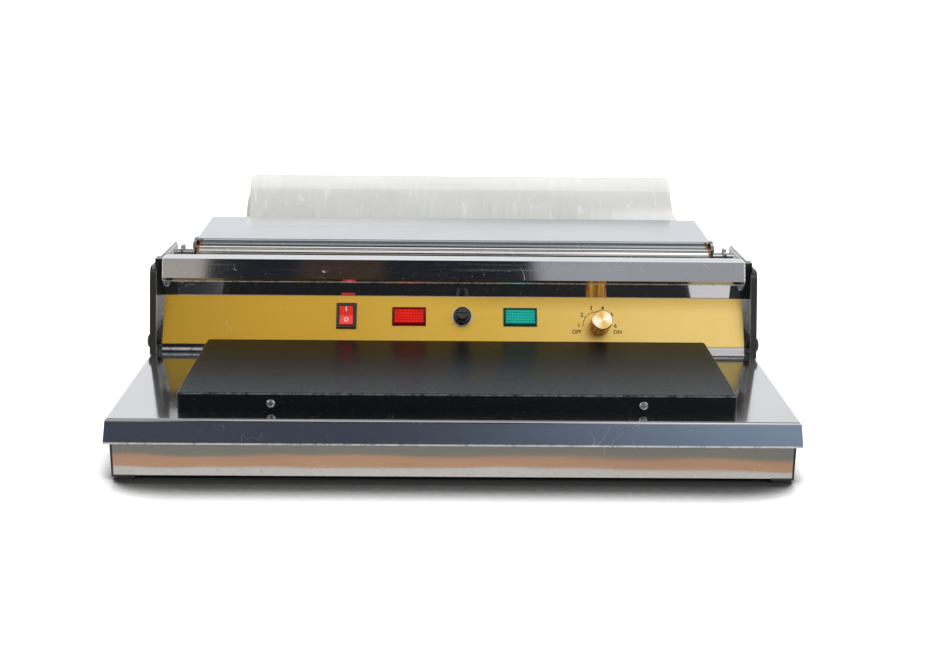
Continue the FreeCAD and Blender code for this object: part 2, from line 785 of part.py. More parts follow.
def make_side_plates():
    """Each plate is a pan: a web with a flange turned in along its slanted front edge."""
    for side, label in ((-1, "side_plate_left"), (1, "side_plate_right")):
        body = new_body(label)
        web = body_sketch(body, "YZ_Plane")
        polyline(web, [("0", "0"), ("side_lean", "side_rise"), ("side_length", "side_rise-side_drop"),
                       ("side_length", "0")], True)
        pad(body, web, "side_flange")
        round_edges(body, lambda edge, whole: edge.ZMin > whole.ZMax - 1e-3 and edge.YLength < 1e-3,
                    "side_corner")
        slope = "side_gauge/cos(atan(side_lean/side_rise))"
        inside = body_sketch(body, "YZ_Plane")
        polyline(inside, [(slope, "0"), (f"{slope}+side_lean", "side_rise"),
                          (f"{slope}+side_lean", "side_rise*1.2"), ("side_length*1.2", "side_rise*1.2"),
                          ("side_length*1.2", "0")], True)
        if side < 0:
            bind(inside, "AttachmentOffset.Base.z", "side_gauge")
        pocket(body, inside, "side_flange-side_gauge", forward=True)
        holes = body_sketch(body, "YZ_Plane")
        for along in ("bolt_front", "bolt_rear"):
            ring(holes, along, "bolt_rise", "bolt_shank+2*bolt_clearance")
        pocket(body, holes, "side_flange*3", symmetric=True)
        start = "-base_width/2" if side < 0 else "base_width/2-side_flange"
        place(body, start, SIDE_Y, "deck_height")
        node(body, label)


def make_side_angles():
    """Angle strips on the deck inside the side plates, which the bolts pull against."""
    strips = []
    for side in ("-", ""):
        face = f"{side}({SIDE_INNER})"
        line = [(f"{side}({SIDE_INNER}-side_angle_leg)", "deck_height"), (face, "deck_height"),
                (face, "deck_height+side_angle_height")]
        strip = folded("side_strip", line, "-side_gauge" if side else "side_gauge",
                       "side_length-side_lean-side_angle_short", XZ_TURN)
        place(strip, y=f"{SIDE_Y}+side_length/2+side_angle_shift")
        holes = []
        for along in ("bolt_front", "bolt_rear"):
            hole = cylinder("side_hole", "bolt_shank+2*bolt_clearance", "side_gauge*6")
            place(hole, f"{face}-side_gauge*3", f"{SIDE_Y}+{along}",
                  "deck_height+bolt_rise", ALONG_X)
            holes.append(hole)
        strips.append(cut("side_strip_open", strip, holes))
    node(group("side_strips", strips), "side_angles")


def make_bolts():
    bolts = []
    for side in (-1, 1):
        for along in ("bolt_front", "bolt_rear"):
            bolt = turned("bolt", [
                ("0", "-bolt_reach"), ("bolt_shank/2", "-bolt_reach"), ("bolt_shank/2", "0"),
                ("bolt_head/2", "0"), ("bolt_head/2", "bolt_head_height*0.6"),
                ("bolt_head*0.42", "bolt_head_height"), ("0", "bolt_head_height")])
            turn = FreeCAD.Rotation(FreeCAD.Vector(0, 1, 0), 90 * side)
            place(bolt, f"{side}*base_width/2", f"{SIDE_Y}+{along}",
                  "deck_height+bolt_rise", turn)
            bolts.append(bolt)
    node(group("bolts", bolts), "side_plate_bolts")


def make_channel_bar():
    """The folded nose that the film is laid over: lip, leaning face, ledge and a short drop."""
    foot_y = CHANNEL_Y
    foot_z = "(deck_height+channel_rise)"
    top_y = f"({foot_y}+channel_lean)"
    line = [(f"{foot_y}+channel_lip*sin(channel_lip_angle)", f"{foot_z}-channel_lip*cos(channel_lip_angle)"),
            (foot_y, foot_z), (top_y, CHANNEL_TOP_Z), (f"{top_y}+channel_ledge", CHANNEL_TOP_Z),
            (f"{top_y}+channel_ledge", f"{CHANNEL_TOP_Z}-channel_drop")]
    node(folded("channel_sheet", line, "channel_gauge", CONSOLE_WIDTH), "channel_bar")


def make_channel_brackets():
    """A three-sided black corner under each end of the channel bar."""
    for side, label in ((-1, "channel_bracket_left"), (1, "channel_bracket_right")):
        body = new_body(label)
        width = f"({SIDE_INNER}-{HOUSING_WIDTH}/2-bracket_gap)"
        height = f"({CHANNEL_TOP_Z}-channel_gauge-{CONSOLE_TOP_Z})"
        sketch = body_sketch(body, "XY_Plane")
        rectangle(sketch, "0", "0", width, "bracket_length")
        pad(body, sketch, height)
        hollow = body_sketch(body, "XY_Plane")
        low, high = ("bracket_gauge", f"{width}*2") if side < 0 else (f"-{width}", f"{width}-bracket_gauge")
        rectangle(hollow, low, "bracket_gauge", high, "bracket_length*2")
        pocket(body, hollow, f"{height}-bracket_gauge", forward=True)
        hole = body_sketch(body, "XZ_Plane")
        inset = "end_screw_inset-side_gauge"
        ring(hole, inset if side < 0 else f"{width}-({inset})", "end_screw_rise", "screw_shank")
        pocket(body, hole, "bracket_gauge*3", symmetric=True)
        start = f"-{SIDE_INNER}" if side < 0 else f"{SIDE_INNER}-{width}"
        place(body, start, BRACKET_Y, CONSOLE_TOP_Z)
        node(body, label)


# bridge: cutter rod and guide roller

def make_ear(name, across, along, up, hole, tip):
    """An upright ear with a round head about its hole, standing on the bridge bracket's base."""
    ear = new_body(name)
    base = f"({VALLEY_Z}-({up}))"
    sketch = body_sketch(ear, "YZ_Plane")
    rectangle(sketch, "-ear_width/2", base, "ear_width/2", tip)
    ring(sketch, "0", "0", hole)
    pad(ear, sketch, "ear_gauge")
    round_edges(ear, lambda edge, whole: edge.ZMin > whole.ZMax - 1e-3 and edge.YLength < 1e-3, "ear_width/3")
    place(ear, across, along, up)
    return ear


def make_bridge_brackets():
    for side, label in ((-1, "bridge_bracket_left"), (1, "bridge_bracket_right")):
        inner = EAR_X
        line = [(f"{side}*{inner}", VALLEY_Z), (f"{side}*{SIDE_INNER}", VALLEY_Z),
                (f"{side}*{SIDE_INNER}", f"{VALLEY_Z}+bridge_flange")]
        base = folded(f"{label}_base", line, "-ear_gauge" if side < 0 else "ear_gauge", "bridge_length", XZ_TURN)
        place(base, y=f"{SHELF_Y}-bridge_lead+bridge_length/2")
        guide_start = f"-{EAR_X}-ear_gauge" if side < 0 else EAR_X
        cutter_start = f"-{CUTTER_EAR_X}" if side < 0 else f"{CUTTER_EAR_X}-ear_gauge"
        guide_ear = make_ear("guide_ear", guide_start, GUIDE_Y, "deck_height+guide_rise",
                             "bush_outer", "ear_tip+guide_ear_rise")
        cutter_ear = make_ear("cutter_ear", cutter_start, CUTTER_Y, "deck_height+cutter_rise",
                              "shaft_size", "ear_tip")
        whole = doc.addObject("Part::MultiFuse", label)
        whole.Shapes = [base, guide_ear, cutter_ear]
        doc.recompute()
        node(whole, label)


def lay_across(obj, along, up, across="0"):
    return place(obj, across, along, up, ALONG_X)


def make_cutter_rod():
    along = CUTTER_Y
    up = "deck_height+cutter_rise"
    tube_end = f"({ROD_LENGTH}/2-ring_width)"
    tube = turned("cutter_tube", drum("rod_outer/2", f"-{tube_end}", tube_end, "rod_outer/2-rod_wall"))
    node(lay_across(tube, along, up), "cutter_rod")
    heater = turned("cutter_element", drum("heater_size/2", f"-{tube_end}+ring_plug", f"{tube_end}-ring_plug"))
    node(lay_across(heater, along, up), "cutter_heater")
    insulators = []
    stubs = []
    for side in (-1, 1):
        turn = FreeCAD.Rotation(FreeCAD.Vector(0, 1, 0), 90 * side)
        insulator = turned("insulator", [
            ("shaft_size/2", f"{tube_end}-ring_plug"), ("rod_outer/2-rod_wall", f"{tube_end}-ring_plug"),
            ("rod_outer/2-rod_wall", tube_end), ("rod_outer/2+ring_proud", tube_end),
            ("rod_outer/2+ring_proud", f"{ROD_LENGTH}/2"), ("shaft_size/2", f"{ROD_LENGTH}/2")])
        insulators.append(place(insulator, "0", along, up, turn))
        stub = turned("stub", drum("shaft_size/2", f"{tube_end}-ring_plug", f"{SIDE_INNER}-ear_gauge*2"))
        stubs.append(place(stub, "0", along, up, turn))
    node(group("insulator_pair", insulators), "cutter_insulators")
    node(group("stub_pair", stubs), "cutter_stubs")


def make_guide_roller():
    along = GUIDE_Y
    up = "deck_height+guide_rise"
    tube_end = f"({ROD_LENGTH}/2-ring_width)"
    tube = turned("guide_tube", drum("rod_outer/2", f"-{tube_end}", tube_end, "rod_outer/2-rod_wall"))
    node(lay_across(tube, along, up), "guide_roller")
    end = f"({EAR_X}+ear_gauge+guide_shaft_end)"
    shaft = turned("guide_shaft", drum("shaft_size/2", f"-{end}", end))
    node(lay_across(shaft, along, up), "guide_roller_shaft")
    rings = []
    bushes = []
    washers = []
    for side in (-1, 1):
        turn = FreeCAD.Rotation(FreeCAD.Vector(0, 1, 0), 90 * side)
        ring_body = turned("end_ring", [
            ("shaft_size/2", f"{tube_end}-ring_plug"), ("rod_outer/2-rod_wall", f"{tube_end}-ring_plug"),
            ("rod_outer/2-rod_wall", tube_end), ("rod_outer/2+ring_proud", tube_end),
            ("rod_outer/2+ring_proud", f"{ROD_LENGTH}/2"), ("shaft_size/2", f"{ROD_LENGTH}/2")])
        rings.append(place(ring_body, "0", along, up, turn))
        bush = turned("guide_bush", [
            ("shaft_size/2+shaft_clearance", EAR_X), ("bush_outer/2", EAR_X),
            ("bush_outer/2", f"{EAR_X}+ear_gauge"), ("bush_flange/2", f"{EAR_X}+ear_gauge"),
            ("bush_flange/2", f"{EAR_X}+ear_gauge+bush_flange_width"),
            ("shaft_size/2+shaft_clearance", f"{EAR_X}+ear_gauge+bush_flange_width")])
        bushes.append(place(bush, "0", along, up, turn))
        for rod_along, rod_up in ((along, up), (CUTTER_Y, "deck_height+cutter_rise")):
            gap = "ear_gap" if rod_along == along else "0"
            washer = turned("washer", drum("washer_size/2", f"{ROD_LENGTH}/2+{gap}",
                                           f"{ROD_LENGTH}/2+{gap}+washer_width",
                                           "shaft_size/2+shaft_clearance"))
            washers.append(place(washer, "0", rod_along, rod_up, turn))
    node(group("ring_pair", rings), "guide_roller_rings")
    node(group("bush_pair", bushes), "guide_roller_bushes")
    node(group("washer_set", washers), "rod_washers")


# cradle and film

def make_cradle():
    bushes = []
    for side, label in ((-1, "cradle_bracket_left"), (1, "cradle_bracket_right")):
        body = new_body(label)
        plate = body_sketch(body, "YZ_Plane")
        polyline(plate, [("-cradle_length/2", "0"), ("-cradle_length/2", "cradle_height"),
                         ("cradle_length/2", "cradle_height"), ("cradle_length/2", "0")], True)
        for along in ("-", ""):
            ring(plate, f"{along}cradle_spacing/2", "cradle_rise", "cradle_bush_outer")
        pad(body, plate, "cradle_gauge")
        round_edges(body, lambda edge, whole: edge.ZMin > whole.ZMax - 1e-3 and edge.YLength < 1e-3,
                    "cradle_corner")
        flange = body_sketch(body, "XY_Plane")
        ends = ("cradle_gauge-cradle_flange", "cradle_gauge") if side < 0 else ("0", "cradle_flange")
        rectangle(flange, ends[0], "-cradle_length/2", ends[1], "cradle_length/2")
        pad(body, flange, "cradle_gauge")
        start = f"-{CRADLE_X}-cradle_gauge" if side < 0 else CRADLE_X
        place(body, start, FILM_Y, "deck_height")
        node(body, label)
        turn = FreeCAD.Rotation(FreeCAD.Vector(0, 1, 0), 90 * side)
        for along in ("-", "+"):
            bush = turned("cradle_bush", [
                ("roller_shaft/2+shaft_clearance", CRADLE_X), ("cradle_bush_outer/2", CRADLE_X),
                ("cradle_bush_outer/2", f"{CRADLE_X}+cradle_gauge"),
                ("cradle_bush_outer/2+cradle_bush_rim", f"{CRADLE_X}+cradle_gauge"),
                ("cradle_bush_outer/2+cradle_bush_rim", f"{CRADLE_X}+cradle_gauge+cradle_bush_rim"),
                ("roller_shaft/2+shaft_clearance", f"{CRADLE_X}+cradle_gauge+cradle_bush_rim")])
            bushes.append(place(bush, "0", f"{FILM_Y}{along}cradle_spacing/2", CRADLE_Z, turn))
    node(group("cradle_bush_set", bushes), "cradle_bushes")
    for along, label in (("-", "support_roller_front"), ("+", "support_roller_rear")):
        face = f"({ROLLER_LENGTH}/2)"
        tube = turned("roller_tube", drum("roller_outer/2", f"-{face}", face, "roller_outer/2-roller_wall"))
        hub = f"({face}-roller_hub)"
        end = f"({CRADLE_X}+cradle_gauge+roller_shaft_end)"
        bore = "roller_outer/2-roller_wall"
        shaft = turned("roller_axle", [
            ("0", f"-{end}"), ("roller_shaft/2", f"-{end}"), ("roller_shaft/2", f"-{face}"),
            (bore, f"-{face}"), (bore, f"-{hub}"), ("roller_shaft/2", f"-{hub}"),
            ("roller_shaft/2", hub), (bore, hub), (bore, face),
            ("roller_shaft/2", face), ("roller_shaft/2", end), ("0", end)])
        for item in (tube, shaft):
            lay_across(item, f"{FILM_Y}{along}cradle_spacing/2", CRADLE_Z)
        node(group(f"{label}_set", [tube, shaft]), label)


def make_film():
    core = turned("core", drum("core_outer/2", f"-{CORE_LENGTH}/2", f"{CORE_LENGTH}/2", "core_bore/2"))
    node(lay_across(core, FILM_Y, FILM_Z, "film_offset"), "film_core")
    roll = turned("roll", drum("film_outer/2", f"-{FILM_LENGTH}/2", f"{FILM_LENGTH}/2", "core_outer/2"))
    node(lay_across(roll, FILM_Y, FILM_Z, "film_offset"), "film_roll")
    reach = "(film_outer/2+film_gap+tail_gauge)"
    leave_y = f"({FILM_Y}-{reach}*sin(tail_leave))"
    leave_z = f"({FILM_Z}+{reach}*cos(tail_leave))"
    end_y = f"({SHELF_Y}+shelf_depth+tail_gap)"
    line = [(leave_y, leave_z),
            (f"{leave_y}+({end_y}-{leave_y})*tail_drape", f"{leave_z}-({leave_y}-{end_y})*tail_belly"),
            (end_y, "deck_height+tail_hem+tail_straight"), (end_y, "deck_height+tail_hem")]
    tail = folded("tail", line, "tail_gauge", FILM_LENGTH)
    place(tail, "film_offset")
    node(tail, "film_tail")


# controls

def make_rocker():
    bezel = new_body("bezel")
    flange = body_sketch(bezel, "XY_Plane")
    rectangle(flange, "-rocker_width/2", "-rocker_height/2", "rocker_width/2", "rocker_height/2")
    pad(bezel, flange, "rocker_flange")
    round_edges(bezel, is_at_top, "rocker_flange/3", "Chamfer", "Size")
    shell = body_sketch(bezel, "XY_Plane", "-rocker_body_depth")
    rectangle(shell, "-rocker_body_width/2", "-rocker_body_height/2",
              "rocker_body_width/2", "rocker_body_height/2")
    pad(bezel, shell, "rocker_body_depth")
    well = body_sketch(bezel, "XY_Plane", "rocker_flange")
    rectangle(well, "-rocker_body_width/2+rocker_wall", "-button_radius-button_gap",
              "rocker_body_width/2-rocker_wall", "button_radius+button_gap")
    pocket(bezel, well, "rocker_body_depth+rocker_flange-rocker_floor")
    on_panel(bezel, "rocker_place", "control_rise")
    node(bezel, "rocker_bezel")
    # the paddle is a disc on its pivot with two flats that meet in a dip
    paddle = new_body("paddle")
    disc = body_sketch(paddle, "YZ_Plane")
    ring(disc, "0", "0", "2*button_radius")
    width = "rocker_body_width-2*rocker_wall-2*button_gap"
    pad(paddle, disc, width, symmetric=True)
    top = body_sketch(paddle, "YZ_Plane")
    polyline(top, [("0", "button_dip"), ("button_radius", "button_rise"), ("button_radius", "button_radius*1.5"),
                   ("-button_radius", "button_radius*1.5"), ("-button_radius", "button_rise")], True)
    pocket(paddle, top, f"{width}+2", symmetric=True)
    on_panel(paddle, "rocker_place", "control_rise", "button_pivot")
    bind(paddle, "Placement.Rotation.Angle", "90-console_lean+button_throw")
    node(paddle, "rocker_button")


def make_lamps():
    housings = []
    for across, label in (("red_place", "red_lens"), ("green_place", "green_lens")):
        lens = box(label, "lens_width", "lens_height", "lens_depth")
        round_edges(lens, is_at_top, "lens_bevel", "Chamfer", "Size")
        node(on_panel(lens, across, "control_rise"), label)
        housing = box("lamp_housing", "lamp_width", "lamp_height", "lamp_depth")
        housings.append(on_panel(housing, across, "control_rise", "-lamp_depth"))
    node(group("lamp_pair", housings), "lamp_housings")


def make_fuse():
    washer = turned("fuse_washer", drum("fuse_ring_size/2", "0", "fuse_ring_width", "fuse_barrel/2"))
    node(on_panel(washer, "fuse_place", "control_rise"), "fuse_ring")
    base = "fuse_ring_width"
    lid = f"{base}+fuse_flange_width"
    holder = turned("holder", [
        ("0", "-fuse_depth"), ("fuse_barrel/2-fuse_nose/2", "-fuse_depth"),
        ("fuse_barrel/2", "-fuse_depth+fuse_nose"),
        ("fuse_barrel/2", base), ("fuse_flange/2", base), ("fuse_flange/2", lid),
        ("fuse_bore/2", lid), ("fuse_bore/2", "-fuse_depth+fuse_seat"), ("0", "-fuse_depth+fuse_seat")])
    node(on_panel(holder, "fuse_place", "control_rise"), "fuse_holder")
    seat = f"{lid}+fuse_cap_gap"
    plug = "(fuse_bore/2-fuse_cap_gap)"
    cap = turned("cap", [
        ("fuse_glass/2+shaft_clearance", "-fuse_cap_plug"), (plug, "-fuse_cap_plug"), (plug, seat),
        ("fuse_cap_size/2", seat),
        ("fuse_cap_size/2", f"{seat}+fuse_cap_height*0.5"), ("fuse_cap_step/2", f"{seat}+fuse_cap_height*0.5"),
        ("fuse_cap_step/2", f"{seat}+fuse_cap_height-fuse_cap_edge"),
        ("fuse_cap_step/2-fuse_cap_edge", f"{seat}+fuse_cap_height"),
        ("0", f"{seat}+fuse_cap_height"), ("0", "fuse_cap_hold"),
        ("fuse_glass/2+shaft_clearance", "fuse_cap_hold")])
    slot = body_sketch(cap, "XY_Plane", f"{seat}+fuse_cap_height")
    rectangle(slot, "-fuse_cap_step/2", "-fuse_slot_width/2", "fuse_cap_step/2", "fuse_slot_width/2")
    pocket(cap, slot, "fuse_slot_depth")
    node(on_panel(cap, "fuse_place", "control_rise"), "fuse_cap")
    cartridge = turned("cartridge", drum("fuse_glass/2", "fuse_cap_edge-fuse_length", "fuse_cap_edge"))
    node(on_panel(cartridge, "fuse_place", "control_rise"), "fuse_cartridge")


def make_thermostat():
    """A dial thermostat behind the panel; its bush fills the panel hole, its spindle carries the knob."""
    behind = "fascia_gauge+console_gauge"
    spindle_end = "knob_stand+knob_bore_depth"
    body = box("thermostat", "thermostat_width", "thermostat_height", "thermostat_depth")
    bush = body_sketch(body, "XY_Plane", "thermostat_depth")
    ring(bush, "0", "0", "thermostat_bush")
    pad(body, bush, behind)
    bore = body_sketch(body, "XY_Plane", f"thermostat_depth+{behind}")
    ring(bore, "0", "0", "spindle_size+2*spindle_clearance")
    pocket(body, bore, f"thermostat_depth/2+{behind}")
    on_panel(body, "knob_place", "knob_rise", f"-thermostat_depth-({behind})")
    node(body, "thermostat_body")
    spindle = turned("spindle", drum("spindle_size/2", f"-thermostat_depth/2-({behind})+spindle_float",
                                      spindle_end))
    node(on_panel(spindle, "knob_place", "knob_rise"), "thermostat_spindle")
    knob = turned("knob", [
        ("spindle_size/2", "0"), ("knob_size/2", "0"), ("knob_size/2", "knob_height-knob_bevel"),
        ("knob_size/2-knob_bevel", "knob_height"), ("0", "knob_height"),
        ("0", "knob_bore_depth"), ("spindle_size/2", "knob_bore_depth")])
    flute = body_sketch(knob, "XY_Plane", "knob_height*0.75")
    ring(flute, "0", "knob_size/2+flute_size/4", "flute_size")
    groove = pocket(knob, flute, "knob_height*0.55")
    flutes = knob.newObject("PartDesign::PolarPattern", "Flutes")
    flutes.Originals = [groove]
    flutes.Axis = (flute, ["N_Axis"])
    flutes.Angle = 360
    bind(flutes, "Occurrences", "knob_flutes")
    knob.Tip = flutes
    doc.recompute()
    pointer = body_sketch(knob, "XY_Plane", "knob_height")
    pointer.AttachmentOffset = FreeCAD.Placement(
        FreeCAD.Vector(), FreeCAD.Rotation(FreeCAD.Vector(0, 0, 1), 20))
    bind(pointer, "AttachmentOffset.Rotation.Angle", "dial_angle")
    rectangle(pointer, "-pointer_width/2", "knob_size*0.12", "pointer_width/2", "knob_size*0.44")
    pocket(knob, pointer, "pointer_depth")
    on_panel(knob, "knob_place", "knob_rise", "knob_stand")
    node(knob, "temperature_knob")


# power parts

def make_power_parts():
    middle = f"{SHELF_Y}+shelf_depth/2"
    core = box("laminations", "core_block_width", "core_block_depth", "core_block_height")
    place(core, TRANSFORMER_X, middle, "deck_height")
    window = box("window", "coil_width", "coil_depth", "coil_height")
    place(window, TRANSFORMER_X, middle, "deck_height+(core_block_height-coil_height)/2")
    node(cut("stack", core, [window]), "transformer_core")
    coil = box("coil", "coil_width", "coil_depth", "coil_height")
    round_edges(coil, is_upright, "coil_width/8")
    place(coil, TRANSFORMER_X, middle, "deck_height+(core_block_height-coil_height)/2")
    node(coil, "transformer_coil")
    block = box("block", "terminal_width", "terminal_depth", "terminal_height")
    hole = body_sketch(block, "XY_Plane", "terminal_height")
    start = "-terminal_width/2+terminal_width/terminal_count/2"
    ring(hole, start, "0", "terminal_hole")
    well = pocket(block, hole, "terminal_height/2")
    row = block.newObject("PartDesign::LinearPattern", "TerminalRow")
    row.Originals = [well]
    row.Direction = (hole, ["H_Axis"])
    bind(row, "Length", "terminal_width-terminal_width/terminal_count")
    bind(row, "Occurrences", "terminal_count")
    block.Tip = row
    doc.recompute()
    place(block, TERMINAL_X, middle, "deck_height")
    node(block, "terminal_block")


def check_everything():
    for obj in doc.Objects:
        if "Invalid" in obj.State or "Error" in obj.State:
            raise RuntimeError(f"{obj.Name} ({obj.Label}) is in state {obj.State}")
    for label, obj in nodes.items():
        shape = obj.Shape
        if shape.isNull() or not shape.isValid() or not shape.Solids:
            raise RuntimeError(f"{label} has no valid solid")


def main():
    make_deck_tray()
    make_base_panels()
    make_rails()
    make_bottom_plate()
    make_feet()
    make_cord_bush()
    make_hot_plate()
    make_heater()
    make_hot_plate_angles()
    make_screws()
    make_console()
    make_upper_wall()
    make_valley_tray()
    make_shelf_cover()
    make_side_plates()
    make_side_angles()
    make_bolts()
    make_channel_bar()
    make_channel_brackets()
    make_bridge_brackets()
    make_cutter_rod()
    make_guide_roller()
    make_cradle()
    make_film()
    make_rocker()
    make_lamps()
    make_fuse()
    make_thermostat()
    make_power_parts()
    doc.recompute()
    check_everything()
    os.makedirs("parts", exist_ok=True)
    for label, obj in nodes.items():
        obj.Shape.exportStep(f"parts/{label}.step")
    print(len(nodes), "nodes")


main()
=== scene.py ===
import json
import math

import bmesh
import bpy
from mathutils import Matrix, Vector, noise
from mathutils.bvhtree import BVHTree


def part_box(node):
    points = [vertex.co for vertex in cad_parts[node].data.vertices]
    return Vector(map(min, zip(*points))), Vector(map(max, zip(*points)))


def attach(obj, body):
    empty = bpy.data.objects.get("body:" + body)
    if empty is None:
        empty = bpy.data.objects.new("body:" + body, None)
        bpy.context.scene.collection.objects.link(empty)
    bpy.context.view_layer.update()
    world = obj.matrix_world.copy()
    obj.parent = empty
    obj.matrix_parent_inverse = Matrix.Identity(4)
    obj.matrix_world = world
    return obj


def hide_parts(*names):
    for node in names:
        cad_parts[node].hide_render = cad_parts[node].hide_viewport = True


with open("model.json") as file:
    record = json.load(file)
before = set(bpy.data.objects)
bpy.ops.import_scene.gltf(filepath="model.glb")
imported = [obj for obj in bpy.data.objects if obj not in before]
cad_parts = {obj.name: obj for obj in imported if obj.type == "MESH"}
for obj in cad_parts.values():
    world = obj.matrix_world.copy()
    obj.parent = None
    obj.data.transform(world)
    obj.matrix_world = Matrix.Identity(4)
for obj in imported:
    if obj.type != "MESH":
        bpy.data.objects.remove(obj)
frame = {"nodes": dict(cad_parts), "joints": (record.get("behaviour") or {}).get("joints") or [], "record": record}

bl_info = {
    "name": "Film Wrapping Machine Looks",
    "version": (1, 0, 0),
    "blender": (4, 5, 0),
    "location": "View3D > Sidebar > Wrapper",
    "description": "Dresses a tabletop film wrapping machine and sets its studio",
    "category": "Object",
}

MM = 0.001
INK_LIFT = 0.06 * MM
CAPITAL_SHARE = 0.7
PANEL_CENTRE = "knob_turn"
joints = {joint["name"]: joint for joint in frame["joints"]}
slots = {part["node"]: part["material_slot"] for part in frame["record"]["subparts"]}


def tone(red, green, blue):
    """A colour written as it looks on a screen, from 0 to 255, as Blender's linear colour."""
    def linear(level):
        share = level / 255
        return share / 12.92 if share <= 0.04045 else ((share + 0.055) / 1.055) ** 2.4
    return (linear(red), linear(green), linear(blue))


# user settings

class FilmWrapMetals(bpy.types.PropertyGroup):
    steel: bpy.props.FloatVectorProperty(
        name="Polished steel", description="Colour of the polished sheet",
        subtype="COLOR", size=3, min=0, max=1, default=tone(208, 210, 214))
    steel_haze: bpy.props.FloatProperty(
        name="Steel haze", description="Roughness of the polished sheet", subtype="FACTOR",
        min=0, max=1, default=0.055)
    gold: bpy.props.FloatVectorProperty(
        name="Gold panel", description="Colour of the anodised control panel",
        subtype="COLOR", size=3, min=0, max=1, default=tone(236, 197, 84))
    gold_haze: bpy.props.FloatProperty(
        name="Gold haze", description="Roughness of the control panel", subtype="FACTOR",
        min=0, max=1, default=0.34)
    rod: bpy.props.FloatVectorProperty(
        name="Rods", description="Colour of the drawn tubes and shafts",
        subtype="COLOR", size=3, min=0, max=1, default=tone(204, 204, 202))


class FilmWrapCoatings(bpy.types.PropertyGroup):
    enamel: bpy.props.FloatVectorProperty(
        name="Black enamel", description="Colour of the side plates and rails",
        subtype="COLOR", size=3, min=0, max=1, default=tone(26, 26, 27))
    plate: bpy.props.FloatVectorProperty(
        name="Plate coating", description="Colour of the hot plate's non-stick coating",
        subtype="COLOR", size=3, min=0, max=1, default=tone(25, 32, 38))
    button: bpy.props.FloatVectorProperty(
        name="Rocker", description="Colour of the rocker's paddle",
        subtype="COLOR", size=3, min=0, max=1, default=tone(255, 50, 42))
    red_lamp: bpy.props.FloatVectorProperty(
        name="Red lens", description="Colour of the left lamp's lens",
        subtype="COLOR", size=3, min=0, max=1, default=tone(208, 14, 1))
    green_lamp: bpy.props.FloatVectorProperty(
        name="Green lens", description="Colour of the right lamp's lens",
        subtype="COLOR", size=3, min=0, max=1, default=tone(3, 156, 142))


class FilmWrapFilm(bpy.types.PropertyGroup):
    film: bpy.props.FloatVectorProperty(
        name="Film", description="Colour of the wound film",
        subtype="COLOR", size=3, min=0, max=1, default=tone(243, 244, 239))
    crease: bpy.props.FloatProperty(
        name="Crease depth", description="How far the loose web's creases stand out",
        subtype="DISTANCE", unit="LENGTH", min=0, max=0.004, default=1.1 * MM)
    shoulder: bpy.props.FloatProperty(
        name="Roll shoulder", description="Radius of the wound roll's worn outer corners",
        subtype="DISTANCE", unit="LENGTH", min=0.0005, max=0.01, default=4.5 * MM)


class FilmWrapControls(bpy.types.PropertyGroup):
    lens_columns: bpy.props.IntProperty(
        name="Lens columns", description="Pillows across a lamp lens", min=2, max=24, default=11)
    lens_rows: bpy.props.IntProperty(
        name="Lens rows", description="Pillows up a lamp lens", min=2, max=12, default=5)
    dial_radius: bpy.props.FloatProperty(
        name="Dial radius", description="Radius of the printed arc round the knob",
        subtype="DISTANCE", unit="LENGTH", min=0.009, max=0.02, default=11.0 * MM)
    figure_height: bpy.props.FloatProperty(
        name="Figure height", description="Height of the printed figures",
        subtype="DISTANCE", unit="LENGTH", min=0.001, max=0.006, default=3.3 * MM)


class FilmWrapStudio(bpy.types.PropertyGroup):
    fill: bpy.props.FloatProperty(
        name="Fill", description="Level of the even light from all round", min=0, max=1, default=0.55)
    key: bpy.props.FloatProperty(
        name="Key", description="Power of the soft lamp above and behind",
        subtype="POWER", unit="POWER", min=0, max=200, default=32)
    front: bpy.props.FloatProperty(
        name="Front", description="Power of the soft lamp in front",
        subtype="POWER", unit="POWER", min=0, max=200, default=30)


SETTINGS = {
    "film_wrap_metals": FilmWrapMetals,
    "film_wrap_coatings": FilmWrapCoatings,
    "film_wrap_film": FilmWrapFilm,
    "film_wrap_controls": FilmWrapControls,
    "film_wrap_studio": FilmWrapStudio,
}


# shader maths

class Term:
    """A socket in a node tree; arithmetic on it adds Math nodes."""

    def __init__(self, tree, socket):
        self.tree = tree
        self.socket = socket

    def maths(self, operation, *terms):
        return self.tree.add("ShaderNodeMath", {"operation": operation}, dict(enumerate(terms)))

    def __add__(self, other):
        return self.maths("ADD", self, other)

    __radd__ = __add__

    def __sub__(self, other):
        return self.maths("SUBTRACT", self, other)

    def __rsub__(self, other):
        return self.maths("SUBTRACT", other, self)

    def __mul__(self, other):
        return self.maths("MULTIPLY", self, other)

    __rmul__ = __mul__

    def __truediv__(self, other):
        return self.maths("DIVIDE", self, other)

    def __gt__(self, other):
        return self.maths("GREATER_THAN", self, other)

    def __lt__(self, other):
        return self.maths("LESS_THAN", self, other)

    def __abs__(self):
        return self.maths("ABSOLUTE", self)

    def __pow__(self, other):
        return self.maths("POWER", self, other)

    def larger(self, other):
        return self.maths("MAXIMUM", self, other)

    def smaller(self, other):
        return self.maths("MINIMUM", self, other)

    def rise(self, low, high):
        """0 below low, 1 above high and smooth between; turned round if low is above high."""
        settings = {"interpolation_type": "SMOOTHSTEP"}
        return self.tree.add("ShaderNodeMapRange", settings,
                             {"Value": self, "From Min": low, "From Max": high})


